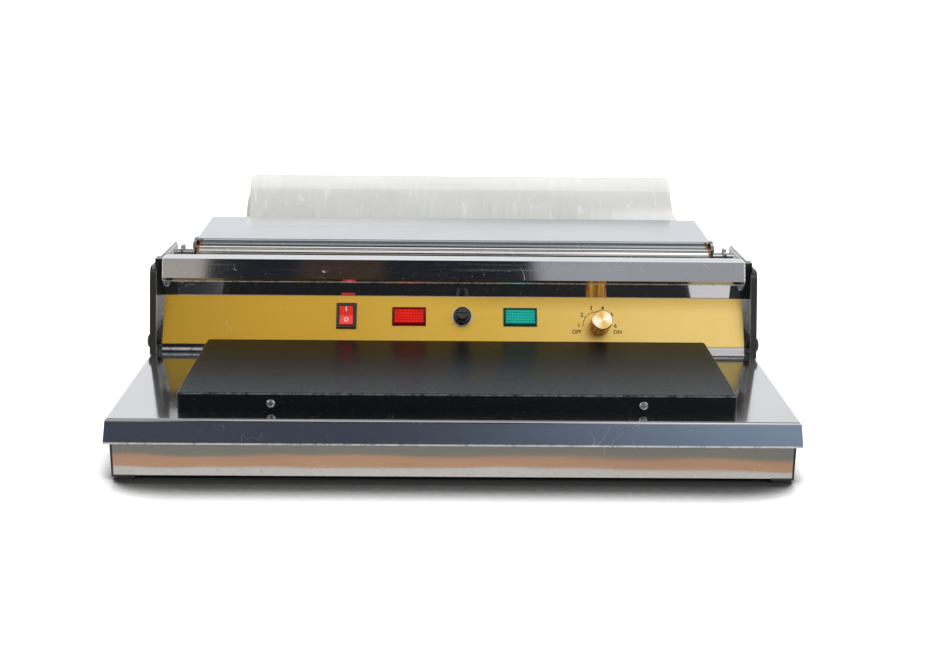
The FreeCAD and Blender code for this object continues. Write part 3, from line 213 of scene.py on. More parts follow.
class Tree:
    """A node tree that is filled through add()."""

    def __init__(self, tree):
        self.tree = tree
        self.tree.nodes.clear()

    def add(self, kind, settings=None, sockets=None, out=0):
        node = self.tree.nodes.new(kind)
        for name, value in (settings or {}).items():
            setattr(node, name, value)
        for key, value in (sockets or {}).items():
            self.feed(node.inputs[key], value)
        return Term(self, node.outputs[out])

    def feed(self, socket, value):
        if isinstance(value, Term):
            self.tree.links.new(value.socket, socket)
        elif socket.type == "RGBA":
            socket.default_value = (*value[:3], 1.0)
        else:
            socket.default_value = value

    def blend(self, first, second, share):
        return self.add("ShaderNodeMix", {"data_type": "RGBA"}, {0: share, 6: first, 7: second}, out=2)

    def noise(self, vector, scale, detail=2.0, rough=0.5, warp=0.0):
        sockets = {"Vector": vector, "Scale": scale, "Detail": detail, "Roughness": rough, "Distortion": warp}
        return self.add("ShaderNodeTexNoise", None, sockets)

    def split(self, vector):
        parts = self.add("ShaderNodeSeparateXYZ", None, {0: vector})
        return [Term(self, output) for output in parts.socket.node.outputs]

    def object_place(self):
        return self.add("ShaderNodeTexCoord", out="Object")

    def stretched(self, vector, scale, turn=(0, 0, 0)):
        return self.add("ShaderNodeMapping", None, {"Vector": vector, "Scale": scale, "Rotation": turn})

    def seen_from(self, centre, turn):
        """Object coordinates measured from a centre, along axes turned by the given angles."""
        return self.add("ShaderNodeMapping", {"vector_type": "TEXTURE"},
                        {"Vector": self.object_place(), "Location": centre, "Rotation": turn})


class Finish(Tree):
    """A material round one Principled shader."""

    def __init__(self, name, **constants):
        self.material = bpy.data.materials.new(name)
        self.material.use_nodes = True
        super().__init__(self.material.node_tree)
        self.shader = self.tree.nodes.new("ShaderNodeBsdfPrincipled")
        surface = self.tree.nodes.new("ShaderNodeOutputMaterial")
        self.tree.links.new(self.shader.outputs[0], surface.inputs["Surface"])
        self.set(**constants)

    def set(self, **values):
        """Set or link the shader's sockets, written in small letters with underscores."""
        names = {socket.name.lower().replace(" ", "_"): socket for socket in self.shader.inputs}
        for name, value in values.items():
            self.feed(names[name], value)
        return self

    def relief(self, height_mm, strength=1.0):
        """Bump from a height in millimetres."""
        normal = self.add("ShaderNodeBump", None, {"Strength": strength, "Distance": MM, "Height": height_mm})
        return self.set(normal=normal)

    def hairlines(self, vector, scale, width, share):
        """Thin curved scratches, kept only where a second pattern is high."""
        line = 1 - abs(self.noise(vector, scale, 0.0, 0.5, 0.7) - 0.5).rise(0.0, width)
        return line * self.noise(vector, scale * 0.6, 1.0).rise(1 - share, 1.05 - share)

    def specks(self, vector, scale, size, share):
        """Scattered grains of dust."""
        cell = self.add("ShaderNodeTexVoronoi", None, {"Vector": vector, "Scale": scale})
        colour = Term(self, cell.socket.node.outputs["Color"])
        return (cell < size) * (self.split(colour)[0] > 1 - share)


def look(name):
    return getattr(bpy.context.scene, name)


def dress(node, material):
    """Give a CAD node its material."""
    mesh = frame["nodes"][node].data
    mesh.materials.clear()
    mesh.materials.append(material)


def dress_slot(slot, material):
    for node, its_slot in slots.items():
        if its_slot == slot:
            dress(node, material)


# mesh helpers

def piece_from(name, mesh_data, material, body, stands_for=()):
    """Turn a finished bmesh into a piece that rides on a body."""
    mesh = bpy.data.meshes.new(name)
    mesh_data.to_mesh(mesh)
    mesh_data.free()
    mesh.materials.append(material)
    piece = bpy.data.objects.new(name, mesh)
    bpy.context.scene.collection.objects.link(piece)
    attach(piece, body)
    if stands_for:
        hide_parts(*stands_for)
    return piece


def smooth(piece, angle):
    """Shade smooth, with sharp edges kept where faces meet at more than the angle."""
    mesh_data = bmesh.new()
    mesh_data.from_mesh(piece.data)
    for face in mesh_data.faces:
        face.smooth = True
    for edge in mesh_data.edges:
        edge.smooth = len(edge.link_faces) != 2 or edge.calc_face_angle(0) < angle
    mesh_data.to_mesh(piece.data)
    mesh_data.free()


def block(length, width, height):
    """A box centred on X and Y that stands on Z = 0."""
    mesh_data = bmesh.new()
    bmesh.ops.create_cube(mesh_data, size=1)
    bmesh.ops.scale(mesh_data, vec=(length, width, height), verts=mesh_data.verts)
    bmesh.ops.translate(mesh_data, vec=(0, 0, height / 2), verts=mesh_data.verts)
    return mesh_data


def lettering(text, height):
    """Flat letters, centred on their own origin, as a mesh."""
    curve = bpy.data.curves.new("lettering", "FONT")
    curve.body = text
    curve.size = height / CAPITAL_SHARE
    curve.align_x = "CENTER"
    curve.align_y = "CENTER"
    curve.resolution_u = 3
    curve.offset = height * 0.03
    carrier = bpy.data.objects.new("lettering", curve)
    bpy.context.scene.collection.objects.link(carrier)
    graph = bpy.context.evaluated_depsgraph_get()
    mesh = bpy.data.meshes.new_from_object(carrier.evaluated_get(graph))
    mesh_data = bmesh.new()
    mesh_data.from_mesh(mesh)
    bpy.data.meshes.remove(mesh)
    bpy.data.objects.remove(carrier)
    bpy.data.curves.remove(curve)
    return mesh_data


def join_into(target, mesh_data, place):
    """Add a placed copy of one bmesh to another and free it."""
    bmesh.ops.transform(mesh_data, matrix=place, verts=mesh_data.verts)
    mesh = bpy.data.meshes.new("carrier")
    mesh_data.to_mesh(mesh)
    mesh_data.free()
    target.from_mesh(mesh)
    bpy.data.meshes.remove(mesh)


# places on the control panel, read from the frame's joints

normal = Vector(joints[PANEL_CENTRE]["axis"]).normalized()
across = Vector((1, 0, 0))
upslope = normal.cross(across)
knob_centre = Vector(joints[PANEL_CENTRE]["pos_m"])
panel_lean = math.atan2(upslope.z, upslope.y)


def on_panel(centre, lift):
    """Matrix that lays a flat drawing on the panel: X across it, Y up its slope, Z out of it."""
    axes = Matrix((across, upslope, normal)).transposed().to_4x4()
    return Matrix.Translation(centre + normal * lift) @ axes


# steel

def steel_finish(name, tint, haze, ripple_mm=0.0, ripple_scale=(5, 5, 5), grain=0.0, wear=1.0,
                 veil=0.12, drawn=0.0, edge=None, painted_shade=None, painted_reflection=None):
    """Polished sheet: faint smudges, hairline scratches, dust and the sheet's own slow ripple.

    edge and the two mask arguments after it take the finish and give a mask: painted highlights
    along bends and edges, broken up in patches; painted shade in a corner; and a painted
    reflection. drawn is how clearly the mill's lines along the sheet show."""
    f = Finish(name, coat_roughness=0.5)
    place = f.object_place()
    smudge = f.noise(place, 9.0, 3.0).rise(0.35, 0.75)
    fine = f.noise(place, 620.0, 2.0)
    hair = f.hairlines(place, 31.0, 0.0035, 0.36)
    cross_hair = f.hairlines(f.stretched(place, (1, 1, 1), (0.6, 1.1, 0.9)), 74.0, 0.007, 0.36)
    scratch = hair.larger(cross_hair) * wear
    dust = f.specks(place, 640.0, 0.13, 0.045) * wear
    colour = f.blend(tint, [level * 0.93 for level in tint], smudge)
    sparkle = f.noise(place, 1300.0, 1.0).rise(0.66, 0.78) * f.noise(place, 60.0).rise(0.35, 0.7)
    bright = dust * 0.6 + scratch * 0.14 + sparkle * 0.25
    if drawn:
        bright = bright + f.noise(f.stretched(place, (7, 380, 380)), 1.0, 3.0, 0.7).rise(0.5, 0.85) * drawn
    if edge is not None:
        # painted highlights along bends and edges, broken up in patches
        edge_breakup = f.noise(place, 190.0, 3.0, 0.7).rise(0.2, 0.6)
        bright = bright.larger(edge(f) * (edge_breakup * 0.5 + 0.35))
    colour = f.blend(colour, tone(244, 244, 242), bright)
    if painted_shade is not None:
        # painted shade: a dark blue grey laid into a corner
        colour = f.blend(colour, tone(66, 70, 82), painted_shade(f))
    if painted_reflection is not None:
        # painted reflection: a pale band laid onto the sheet
        reflection_mask = painted_reflection(f)
        colour = f.blend(colour, tone(250, 248, 240), reflection_mask)
        bright = bright.larger(reflection_mask * 0.5)
    f.set(base_color=colour, metallic=1 - bright * 0.8, coat_weight=smudge * 0.15 + veil,
          roughness=haze + smudge * 0.035 + scratch * 0.3 + bright * 0.4 + fine * grain)
    ripple = f.noise(f.stretched(place, ripple_scale), 1.0, 1.0) * ripple_mm
    f.relief(ripple + fine * 0.004 + scratch * -0.004)
    return f.material


def lip_hem_highlight(f):
    """The hem along the deck's lip, where the sheet is folded under, with a painted highlight along the fold."""
    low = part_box("deck_tray")[0]
    z = f.split(f.object_place())[2]
    return z.rise(low.z + 1.5 * MM, low.z + 0.9 * MM) * 0.75


def channel_bend_highlights(f):
    """Painted highlights along the channel's bends at its foot and on its cut ends."""
    low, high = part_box("channel_bar")
    x, z = f.split(f.object_place())[::2]
    half = (high.x - low.x) / 2
    foot = z.rise(low.z + 1.1 * MM, low.z + 0.7 * MM)
    ends = abs(x - (low.x + high.x) / 2).rise(half - 1.1 * MM, half - 0.7 * MM)
    return foot.larger(ends) * 0.75


def console_foot_shade(f):
    """Painted shade in the dim corner where the console meets the deck."""
    fascia_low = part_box("fascia_plate")[0]
    z = f.split(f.object_place())[2]
    return z.rise(fascia_low.z + 2 * MM, fascia_low.z + 1 * MM) * 0.5


def console_bright_lines(f):
    """A bright line halfway up the strip below the control panel, and a painted highlight along the fold at its
    top.
    """
    fascia_low, fascia_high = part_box("fascia_plate")
    deck_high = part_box("deck_tray")[1]
    x, z = f.split(f.object_place())[::2]
    lower = 1 - abs(z - (deck_high.z * 0.6 + fascia_low.z * 0.4)).rise(0.5 * MM, 1.3 * MM)
    upper = 1 - abs(z - (fascia_high.z + 0.3 * MM)).rise(0.4 * MM, 1.0 * MM)
    return lower.larger(upper * (x.rise(-0.15, 0.05) * 0.75 + 0.25))


def shelf_painted_reflection(f):
    """A painted reflection of the film, laid as a pale band along the shelf's rear edge."""
    low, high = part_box("shelf_cover")
    film_low, film_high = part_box("film_roll")
    x, y = f.split(f.object_place())[:2]
    depth = high.y - low.y
    behind = y.rise(high.y - depth * 0.41, high.y - depth * 0.34)
    beside = x.rise(film_low.x + 7 * MM, film_low.x + 10 * MM) * x.rise(film_high.x * 0.5, film_low.x * 0.5)
    return behind * beside * 0.32


class FILMWRAP_OT_sheet_metal(bpy.types.Operator):
    """Polish the deck, the console and the base panels"""
    bl_idname = "film_wrap.sheet_metal"
    bl_label = "Sheet Metal"

    def execute(self, context):
        metals = look("film_wrap_metals")
        tint = tuple(metals.steel)
        dress_slot("polished_steel", steel_finish("polished_steel", tint, metals.steel_haze, 0.02, (3, 3, 3)))
        dress("console_panel", steel_finish("console_steel", tint, metals.steel_haze,
                                            edge=console_bright_lines, painted_shade=console_foot_shade))
        cool = [level * share for level, share in zip(tint, (0.92, 0.96, 0.98))]
        dress("shelf_cover", steel_finish("shelf_steel", cool, 0.14, 0.06, (3, 6, 6), 0.03, veil=0.2,
                                          painted_reflection=shelf_painted_reflection))
        dress("channel_bar", steel_finish("channel_steel", tint, 0.02, 0.05, (4, 30, 30), 0.03, 1.3,
                                          drawn=0.12, edge=channel_bend_highlights))
        dress("deck_tray", steel_finish("deck_steel", tint, 0.065, 0.05, (4, 5, 5), 0.05, 0.6,
                                       veil=0.4, edge=lip_hem_highlight))
        dress_slot("skirt_steel", steel_finish("skirt_steel", tint, 0.08, 0.5, (9, 9, 30), 0.06, 0.6))
        dress_slot("galvanised", galvanised_finish())
        zinc = tone(196, 197, 198)
        dress_slot("zinc_fixing", steel_finish("zinc_plate", zinc, 0.2, 0.0, (1, 1, 1), 0.1, 0.6))
        return {"FINISHED"}


def galvanised_finish():
    """Plain zinc sheet with large dull crystals."""
    f = Finish("galvanised", metallic=1.0)
    place = f.object_place()
    cell = f.add("ShaderNodeTexVoronoi", None, {"Vector": place, "Scale": 70.0})
    crystal = f.split(Term(f, cell.socket.node.outputs["Color"]))[0]
    f.set(base_color=f.blend(tone(150, 154, 157), tone(186, 189, 191), crystal),
          roughness=crystal * 0.15 + 0.32)
    f.relief(f.noise(place, 300.0) * 0.01)
    return f.material


# black enamel, hot plate

class FILMWRAP_OT_enamel(bpy.types.Operator):
    """Paint the side plates, rails, brackets and bolts"""
    bl_idname = "film_wrap.enamel"
    bl_label = "Black Enamel"

    def execute(self, context):
        dress_slot("black_paint", self.enamel("black_enamel"))
        dress("side_plate_left", self.enamel("left_plate_enamel", 1))
        dress("side_plate_right", self.enamel("right_plate_enamel", -1))
        return {"FINISHED"}

    def enamel(self, name, inward=0):
        """Black enamel; inward is the X direction of a face that stays polished, or 0 for none."""
        f = Finish(name, coat_roughness=0.08)
        place = f.object_place()
        rub = f.noise(place, 26.0, 3.0).rise(0.5, 0.8)
        scuff = f.hairlines(place, 24.0, 0.009, 0.4)
        colour = tuple(look("film_wrap_coatings").enamel)
        paint = f.blend(colour, tone(92, 92, 92), scuff * 0.6 + rub * 0.08)
        f.relief(f.noise(place, 520.0, 1.0) * 0.006)
        if not inward:
            f.set(base_color=paint, roughness=0.26 + rub * 0.16, coat_weight=0.4 - rub * 0.2)
            return f.material
        facing = f.split(f.add("ShaderNodeNewGeometry", out="True Normal"))[0] * inward
        bare = facing > 0.9
        f.set(base_color=f.blend(paint, tone(240, 240, 240), bare), metallic=bare * 0.6,
              roughness=0.26 + rub * 0.16, coat_weight=(1 - bare) * 0.35)
        return f.material


class FILMWRAP_OT_hot_plate(bpy.types.Operator):
    """Coat the hot plate: black non-stick with fine glitter and a rim worn bright"""
    bl_idname = "film_wrap.hot_plate"
    bl_label = "Hot Plate"

    def execute(self, context):
        low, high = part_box("hot_plate_cover")
        f = Finish("plate_coating", specular_ior_level=0.2)
        place = f.object_place()
        x, y, z = f.split(place)
        # distance to the nearest of the cover's four top edges
        side = (abs(x - (low.x + high.x) / 2) - (high.x - low.x) / 2) * -1
        end = (abs(y - (low.y + high.y) / 2) - (high.y - low.y) / 2) * -1
        edge = side.smaller(end)
        chipped = f.noise(place, 150.0, 4.0, 0.7).rise(0.34, 0.6)
        rim = edge.rise(1.3 * MM, 0.7 * MM) * z.rise(high.z - 1.6 * MM, high.z - 0.7 * MM) * chipped
        fold = (1 - abs(edge - 3.4 * MM).rise(0.0, 0.5 * MM)) * z.rise(high.z - 1 * MM, high.z) * chipped
        glitter = f.specks(place, 900.0, 0.3, 0.08)
        flecks = f.specks(place, 330.0, 0.14, 0.012)
        rub = f.noise(place, 7.0, 4.0, 0.6).rise(0.45, 0.8)
        sides = end.rise(2.4 * MM, 1.6 * MM) * 0.75 + 0.25
        upward = f.split(f.add("ShaderNodeNewGeometry", out="True Normal"))[2].rise(0.3, 0.8)
        near = y.rise(high.y, low.y)
        bright = rim * 0.5 * (side.rise(2 * MM, 1 * MM) * 0.6 + 0.4) * sides + fold * 0.06 + glitter * 0.05
        colour = tuple(look("film_wrap_coatings").plate)
        sand = f.noise(place, 520.0, 2.0, 0.7).rise(0.3, 0.8)
        # painted sheen: the plate's top is laid lighter towards its front edge
        coating_with_sheen = f.blend([level * 0.3 for level in colour], [level * 3.4 for level in colour],
                       upward * near * (sand * 0.7 + 0.12))
        f.set(base_color=f.blend(coating_with_sheen, tone(206, 208, 210), bright + flecks * upward * 0.45),
              roughness=0.33 + rub * 0.06 + glitter * 0.2,
              metallic=rim * 0.6)
        grain = f.noise(place, 700.0, 1.0) * 0.035
        f.relief(grain + f.noise(place, 16.0) * 0.05 + fold * 0.02)
        dress("hot_plate_cover", f.material)
        return {"FINISHED"}


# control panel

class FILMWRAP_OT_fascia(bpy.types.Operator):
    """Anodise the control panel gold, with its cut edges left bright"""
    bl_idname = "film_wrap.fascia"
    bl_label = "Control Panel"

    def execute(self, context):
        metals = look("film_wrap_metals")
        low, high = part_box("fascia_plate")
        f = Finish("gold_sheet", coat_roughness=0.2, coat_weight=0.25)
        up, out = f.split(f.seen_from(knob_centre, (panel_lean, 0, 0)))[1:]
        place = f.object_place()
        gold = tuple(metals.gold)
        # painted shade and painted reflection: the gold is laid darker towards the left end and paler towards the
        # right
        deep = [level * share for level, share in zip(gold, (0.86, 0.8, 0.56))]
        shaded_gold = [level * share for level, share in zip(gold, (1.0, 0.92, 0.64))]
        pale = [1 - (1 - level) * share for level, share in zip(gold, (0.8, 0.52, 0.64))]
        world_x = f.split(place)[0]
        left_to_right = world_x.rise(low.x, high.x * 1.15)
        colour = f.blend(deep, shaded_gold, world_x.rise(low.x + 10 * MM, low.x + 105 * MM))
        colour = f.blend(colour, gold, world_x.rise(low.x + 110 * MM, 0.0))
        colour = f.blend(colour, pale, left_to_right.rise(0.45, 1.0) * 0.5)
        panel_top = upslope.dot(Vector((0, high.y, high.z)) - knob_centre)
        shaded = up.rise(panel_top - 14 * MM, panel_top) * left_to_right.rise(0.3, 0.6) * 0.55
        grain = f.noise(f.stretched(place, (70, 900, 900)), 1.0, 3.0, 0.6)
        cloud = f.noise(place, 14.0, 3.0).rise(0.3, 0.8)
        hair = f.hairlines(f.stretched(place, (0.35, 1, 1)), 60.0, 0.012, 0.4)
        fleck = f.specks(place, 420.0, 0.15, 0.012)
        face = out > -0.12 * MM
        mottle = f.noise(place, 480.0, 2.0, 0.7)
        gilt = f.blend(colour, [level * 0.8 for level in gold], grain * 0.1 + mottle * 0.2 + cloud * 0.12)
        gilt = f.blend(gilt, [level * 0.5 for level in gold], shaded)
        worn = f.blend(gilt, tone(240, 232, 205), fleck * 0.7 + hair * 0.35)
        f.set(base_color=f.blend(tuple(metals.steel), worn, face),
              metallic=1 - fleck * 0.5,
              roughness=metals.gold_haze + grain * 0.08 + hair * 0.1)
        f.relief(grain * 0.004 + cloud * 0.02 + f.noise(place, 900.0, 1.0) * 0.008 + hair * -0.006)
        dress("fascia_plate", f.material)
        return {"FINISHED"}


def ink_finish():
    f = Finish("panel_ink", roughness=0.5)
    wear = f.noise(f.object_place(), 900.0, 2.0).rise(0.5, 0.75)
    f.set(base_color=f.blend(tone(30, 24, 16), tone(86, 66, 30), wear * 0.7))
    return f.material


class FILMWRAP_OT_dial(bpy.types.Operator):
    """Print the dial beside the knob's foot: arc, ticks, figures one to six, OFF and ON"""
    bl_idname = "film_wrap.dial"
    bl_label = "Dial Print"

    figures = 6
    first_angle = math.radians(182)
    last_angle = math.radians(-2)
    off_centre = 2.4 * MM
    words = (("OFF", -16.5 * MM), ("ON", 16.3 * MM))
    word_drop = 5.8 * MM

    def execute(self, context):
        controls = look("film_wrap_controls")
        radius = controls.dial_radius
        height = controls.figure_height
        centre = knob_centre - across * self.off_centre
        sheet = bmesh.new()
        arc = bmesh.new()
        start = Vector((math.cos(self.first_angle), math.sin(self.first_angle), 0))
        ends = [arc.verts.new(start * (radius + side * 0.2 * MM)) for side in (-1, 1)]
        line = arc.edges.new(ends)
        bmesh.ops.spin(arc, geom=[*ends, line], cent=(0, 0, 0), axis=(0, 0, 1),
                       angle=self.last_angle - self.first_angle, steps=48, use_merge=False)
        join_into(sheet, arc, on_panel(centre, INK_LIFT))
        step = (self.last_angle - self.first_angle) / (self.figures - 1)
        for figure in range(self.figures):
            angle = self.first_angle + step * figure
            ray = Matrix.Rotation(angle, 4, "Z")
            for tick, length in ((0.0, 1.6 * MM), (0.5, 0.9 * MM)):
                if tick and figure == self.figures - 1:
                    continue
                mark = bmesh.new()
                bmesh.ops.create_grid(mark, x_segments=1, y_segments=1, size=0.5)
                bmesh.ops.scale(mark, vec=(length, 0.45 * MM, 1), verts=mark.verts)
                bmesh.ops.translate(mark, vec=(radius + length / 2, 0, 0), verts=mark.verts)
                turn = Matrix.Rotation(angle + step * tick, 4, "Z")
                join_into(sheet, mark, on_panel(centre, INK_LIFT) @ turn)
            spot = ray @ Vector((radius + height * 1.12, 0, 0))
            join_into(sheet, lettering(str(figure + 1), height),
                      on_panel(centre + across * spot.x + upslope * spot.y, INK_LIFT))
        for word, side in self.words:
            spot = centre + across * side - upslope * self.word_drop
            join_into(sheet, lettering(word, height * 0.93), on_panel(spot, INK_LIFT))
        bmesh.ops.recalc_face_normals(sheet, faces=sheet.faces)
        for face in sheet.faces:
            if face.normal.dot(normal) < 0:
                face.normal_flip()
        piece_from("dial_print", sheet, ink_finish(), "frame")
        return {"FINISHED"}


class FILMWRAP_OT_knob(bpy.types.Operator):
    """Finish the knob: gold, spun in rings on its face, with a painted fan-shaped highlight, and painted
    reflections streaked down its flutes
    """
    bl_idname = "film_wrap.knob"
    bl_label = "Temperature Knob"

    def execute(self, context):
        f = Finish("gold_knob")
        x, up, out = f.split(f.seen_from(knob_centre, (panel_lean, 0, 0)))
        turn = f.add("ShaderNodeMath", {"operation": "ARCTAN2"}, {0: up, 1: x})
        radius = (x * x + up * up) ** 0.5
        face = out.rise(17.2 * MM, 18.0 * MM)
        # painted highlight: a fan of light across the knob's face
        fan_highlight = f.add("ShaderNodeMath", {"operation": "SINE"}, {0: turn * 2 + 0.9}) * 0.5 + 0.5
        rings = f.noise(f.add("ShaderNodeCombineXYZ", None, {0: radius * 2600}), 1.0, 2.0)
        streak = f.noise(f.add("ShaderNodeCombineXYZ", None, {0: turn * 4.0, 1: out * 20}), 1.0, 1.0)
        # painted reflection: the flutes' light and dark streaks, which are also bumps
        side = f.blend(tone(226, 124, 8), tone(255, 216, 96), streak.rise(0.42, 0.6))
        disc = f.blend(tone(226, 184, 108), tone(255, 250, 226), fan_highlight)
        f.set(base_color=f.blend(side, disc, face), metallic=face * 0.5 + 0.5,
              roughness=0.24 + rings * 0.08 - streak * 0.06)
        f.relief(rings * 0.01 + streak * 0.05)
        dress("temperature_knob", f.material)
        return {"FINISHED"}


class FILMWRAP_OT_rocker(bpy.types.Operator):
    """Mould the rocker and print the I and O on the paddle"""
    bl_idname = "film_wrap.rocker"
    bl_label = "Rocker Switch"

    def execute(self, context):
        f = Finish("red_paddle", roughness=0.3, coat_weight=0.2, coat_roughness=0.15)
        place = f.object_place()
        rub = f.noise(place, 160.0, 3.0).rise(0.4, 0.8)
        colour = tuple(look("film_wrap_coatings").button)
        f.set(base_color=f.blend(colour, [level * 0.8 + 0.04 for level in colour], rub * 0.5))
        f.relief(f.noise(place, 900.0, 1.0) * 0.01)
        dress("rocker_button", f.material)
        white = Finish("paddle_marks", roughness=0.4)
        fade = white.noise(white.object_place(), 1200.0, 2.0).rise(0.4, 0.8)
        white.set(base_color=white.blend(tone(238, 236, 234), tone(226, 150, 146), fade * 0.5))
        self.print_marks(white.material)
        return {"FINISHED"}

    def print_marks(self, material):
        """Lay each mark on its own flat of the paddle, found by casting a ray at the CAD node."""
        paddle = bmesh.new()
        paddle.from_mesh(frame["nodes"]["rocker_button"].data)
        surface = BVHTree.FromBMesh(paddle)
        centre = Vector(joints["rocker_tilt"]["pos_m"])
        marks = bmesh.new()
        for rise, shape in ((4.6 * MM, "bar"), (-3.6 * MM, "ring")):
            start = centre + upslope * rise + normal * 20 * MM
            hit, facing = surface.ray_cast(start, -normal)[:2]
            if hit is None:
                raise RuntimeError("the paddle isn't where its joint says")
            slope = facing.cross(across).normalized()
            axes = Matrix((across, slope, facing)).transposed().to_4x4()
            place = Matrix.Translation(hit + facing * INK_LIFT) @ axes
            mark = bmesh.new()
            if shape == "bar":
                bmesh.ops.create_grid(mark, x_segments=1, y_segments=1, size=0.5)
                bmesh.ops.scale(mark, vec=(0.9 * MM, 3.6 * MM, 1), verts=mark.verts)
            else:
                rim = [mark.verts.new((radius, 0, 0)) for radius in (1.15 * MM, 1.8 * MM)]
                bmesh.ops.spin(mark, geom=[*rim, mark.edges.new(rim)], cent=(0, 0, 0), axis=(0, 0, 1),
                               angle=math.tau, steps=32, use_merge=True)
            for face in mark.faces:
                face.normal_update()
                if face.normal.z < 0:
                    face.normal_flip()
            join_into(marks, mark, place)
        paddle.free()
        piece_from("paddle_marks", marks, material, "rocker")


class FILMWRAP_OT_mouldings(bpy.types.Operator):
    """Mould the bezel, the fuse holder and the other black plastic parts"""
    bl_idname = "film_wrap.mouldings"
    bl_label = "Black Mouldings"

    def execute(self, context):
        f = Finish("black_moulding", coat_roughness=0.1)
        place = f.object_place()
        rub = f.noise(place, 120.0, 3.0).rise(0.4, 0.8)
        f.set(base_color=f.blend(tone(22, 22, 24), tone(54, 56, 62), rub * 0.4),
              roughness=0.22 + rub * 0.15, coat_weight=0.35 - rub * 0.15)
        f.relief(f.noise(place, 1400.0, 1.0) * 0.006)
        dress_slot("black_plastic", f.material)
        return {"FINISHED"}


class FILMWRAP_OT_lenses(bpy.types.Operator):
    """Press the two lamp lenses: a bevelled rim round rows of small pillows"""
    bl_idname = "film_wrap.lenses"
    bl_label = "Lamp Lenses"

    bevel = 1.5 * MM
    lip = 0.7 * MM

    def execute(self, context):
        coatings = look("film_wrap_coatings")
        for node, colour in (("red_lens", coatings.red_lamp), ("green_lens", coatings.green_lamp)):
            self.press(node, tuple(colour))
        return {"FINISHED"}

    def press(self, node, colour):
        low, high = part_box(node)
        centre = (low + high) / 2
        width = high.x - low.x
        # the tilted box's two extents give the lens's height and depth
        rise = math.sin(panel_lean)
        lean = math.cos(panel_lean)
        tall = high.z - low.z
        deep = high.y - low.y
        depth = (deep * rise - tall * lean) / (rise * rise - lean * lean)
        height = (tall - depth * lean) / rise
        place = on_panel(centre, -depth / 2)
        mesh_data = block(width, height, depth)
        top = [edge for edge in mesh_data.edges if all(vert.co.z > depth * 0.9 for vert in edge.verts)]
        bmesh.ops.bevel(mesh_data, geom=top, offset=self.bevel, segments=1, profile=0.5,
                        affect="EDGES", material=-1)
        face = max(mesh_data.faces, key=lambda item: item.calc_center_median().z)
        bmesh.ops.inset_region(mesh_data, faces=[face], thickness=self.lip, depth=-0.35 * MM)
        face = max(mesh_data.faces, key=lambda item: item.calc_area() * (item.normal.z > 0.9))
        self.quilt(mesh_data, face)
        piece = piece_from(f"{node}_cover", mesh_data, self.lens_finish(node, colour, centre, width, height),
                           "frame", (node,))
        piece.data.transform(place)
        piece.data.update()

    def quilt(self, mesh_data, face):
        """Cut a face into a grid and raise each cell as a pillow."""
        controls = look("film_wrap_controls")
        corners = [vert.co.copy() for vert in face.verts]
        level = corners[0].z
        x0, x1 = min(c.x for c in corners), max(c.x for c in corners)
        y0, y1 = min(c.y for c in corners), max(c.y for c in corners)
        cuts = [((x0 + (x1 - x0) * step / controls.lens_columns, 0, 0), (1, 0, 0))
                for step in range(1, controls.lens_columns)]
        cuts += [((0, y0 + (y1 - y0) * step / controls.lens_rows, 0), (0, 1, 0))
                 for step in range(1, controls.lens_rows)]
        for point, direction in cuts:
            cells = self.cells_at(mesh_data, level, x0, x1, y0, y1)
            parts = {item for cell in cells for item in (cell, *cell.edges, *cell.verts)}
            bmesh.ops.bisect_plane(mesh_data, geom=list(parts), plane_co=point, plane_no=direction)
        cells = self.cells_at(mesh_data, level, x0, x1, y0, y1)
        bmesh.ops.inset_individual(mesh_data, faces=cells, thickness=0.3 * MM, depth=0.22 * MM)
        bmesh.ops.inset_individual(mesh_data, faces=cells, thickness=0.3 * MM, depth=0.1 * MM)

    def cells_at(self, mesh_data, level, x0, x1, y0, y1):
        below_sheen_line = 1e-6
        return [face for face in mesh_data.faces
                if abs(face.normal.z) > 0.99 and all(
                    abs(vert.co.z - level) < below_sheen_line and x0 - below_sheen_line <= vert.co.x <= x1 + below_sheen_line
                    and y0 - below_sheen_line <= vert.co.y <= y1 + below_sheen_line for vert in face.verts)]

    def lens_finish(self, node, colour, centre, width, height):
        """Deep at the bevelled rim and bright in the pillows' crowns, as painted shade and painted highlights,
        with a painted glow in the middle though the lamp is unlit.
        """
        controls = look("film_wrap_controls")
        f = Finish(f"{node}_plastic", roughness=0.2, specular_ior_level=0.3, emission_strength=1.0)
        x, up = f.split(f.seen_from(centre, (panel_lean, 0, 0)))[:2]
        rim = self.bevel + self.lip
        inside = (width / 2 - abs(x)).smaller(height / 2 - abs(up)).rise(self.bevel, rim + 0.2 * MM)
        column = self.ripple(f, x, controls.lens_columns / (width - 2 * rim))
        row = self.ripple(f, up, controls.lens_rows / (height - 2 * rim))
        # painted highlights in the pillows' crowns and painted shade at the bevelled rim
        crown_highlight = column * row
        # painted glow, brightest in the middle, though the lamp is unlit
        painted_glow = 1 - ((x / width) ** 2 + (up / height) ** 2) * 2.2
        dark = [level * 0.22 for level in colour]
        f.set(base_color=f.blend(dark, colour, inside * (crown_highlight * 0.5 + 0.5)),
              emission_color=f.blend((0, 0, 0), [level * 0.42 for level in colour],
                                     inside * (crown_highlight * 0.5 + 0.5) * painted_glow))
        return f.material

    def ripple(self, f, distance, pitch_share):
        """1 at the middle of each pillow and 0 between two of them."""
        angle = distance * (pitch_share * math.pi) + math.pi / 2
        wave = f.add("ShaderNodeMath", {"operation": "SINE"}, {0: angle})
        return abs(wave).rise(0.0, 0.42)


# rods and small metal

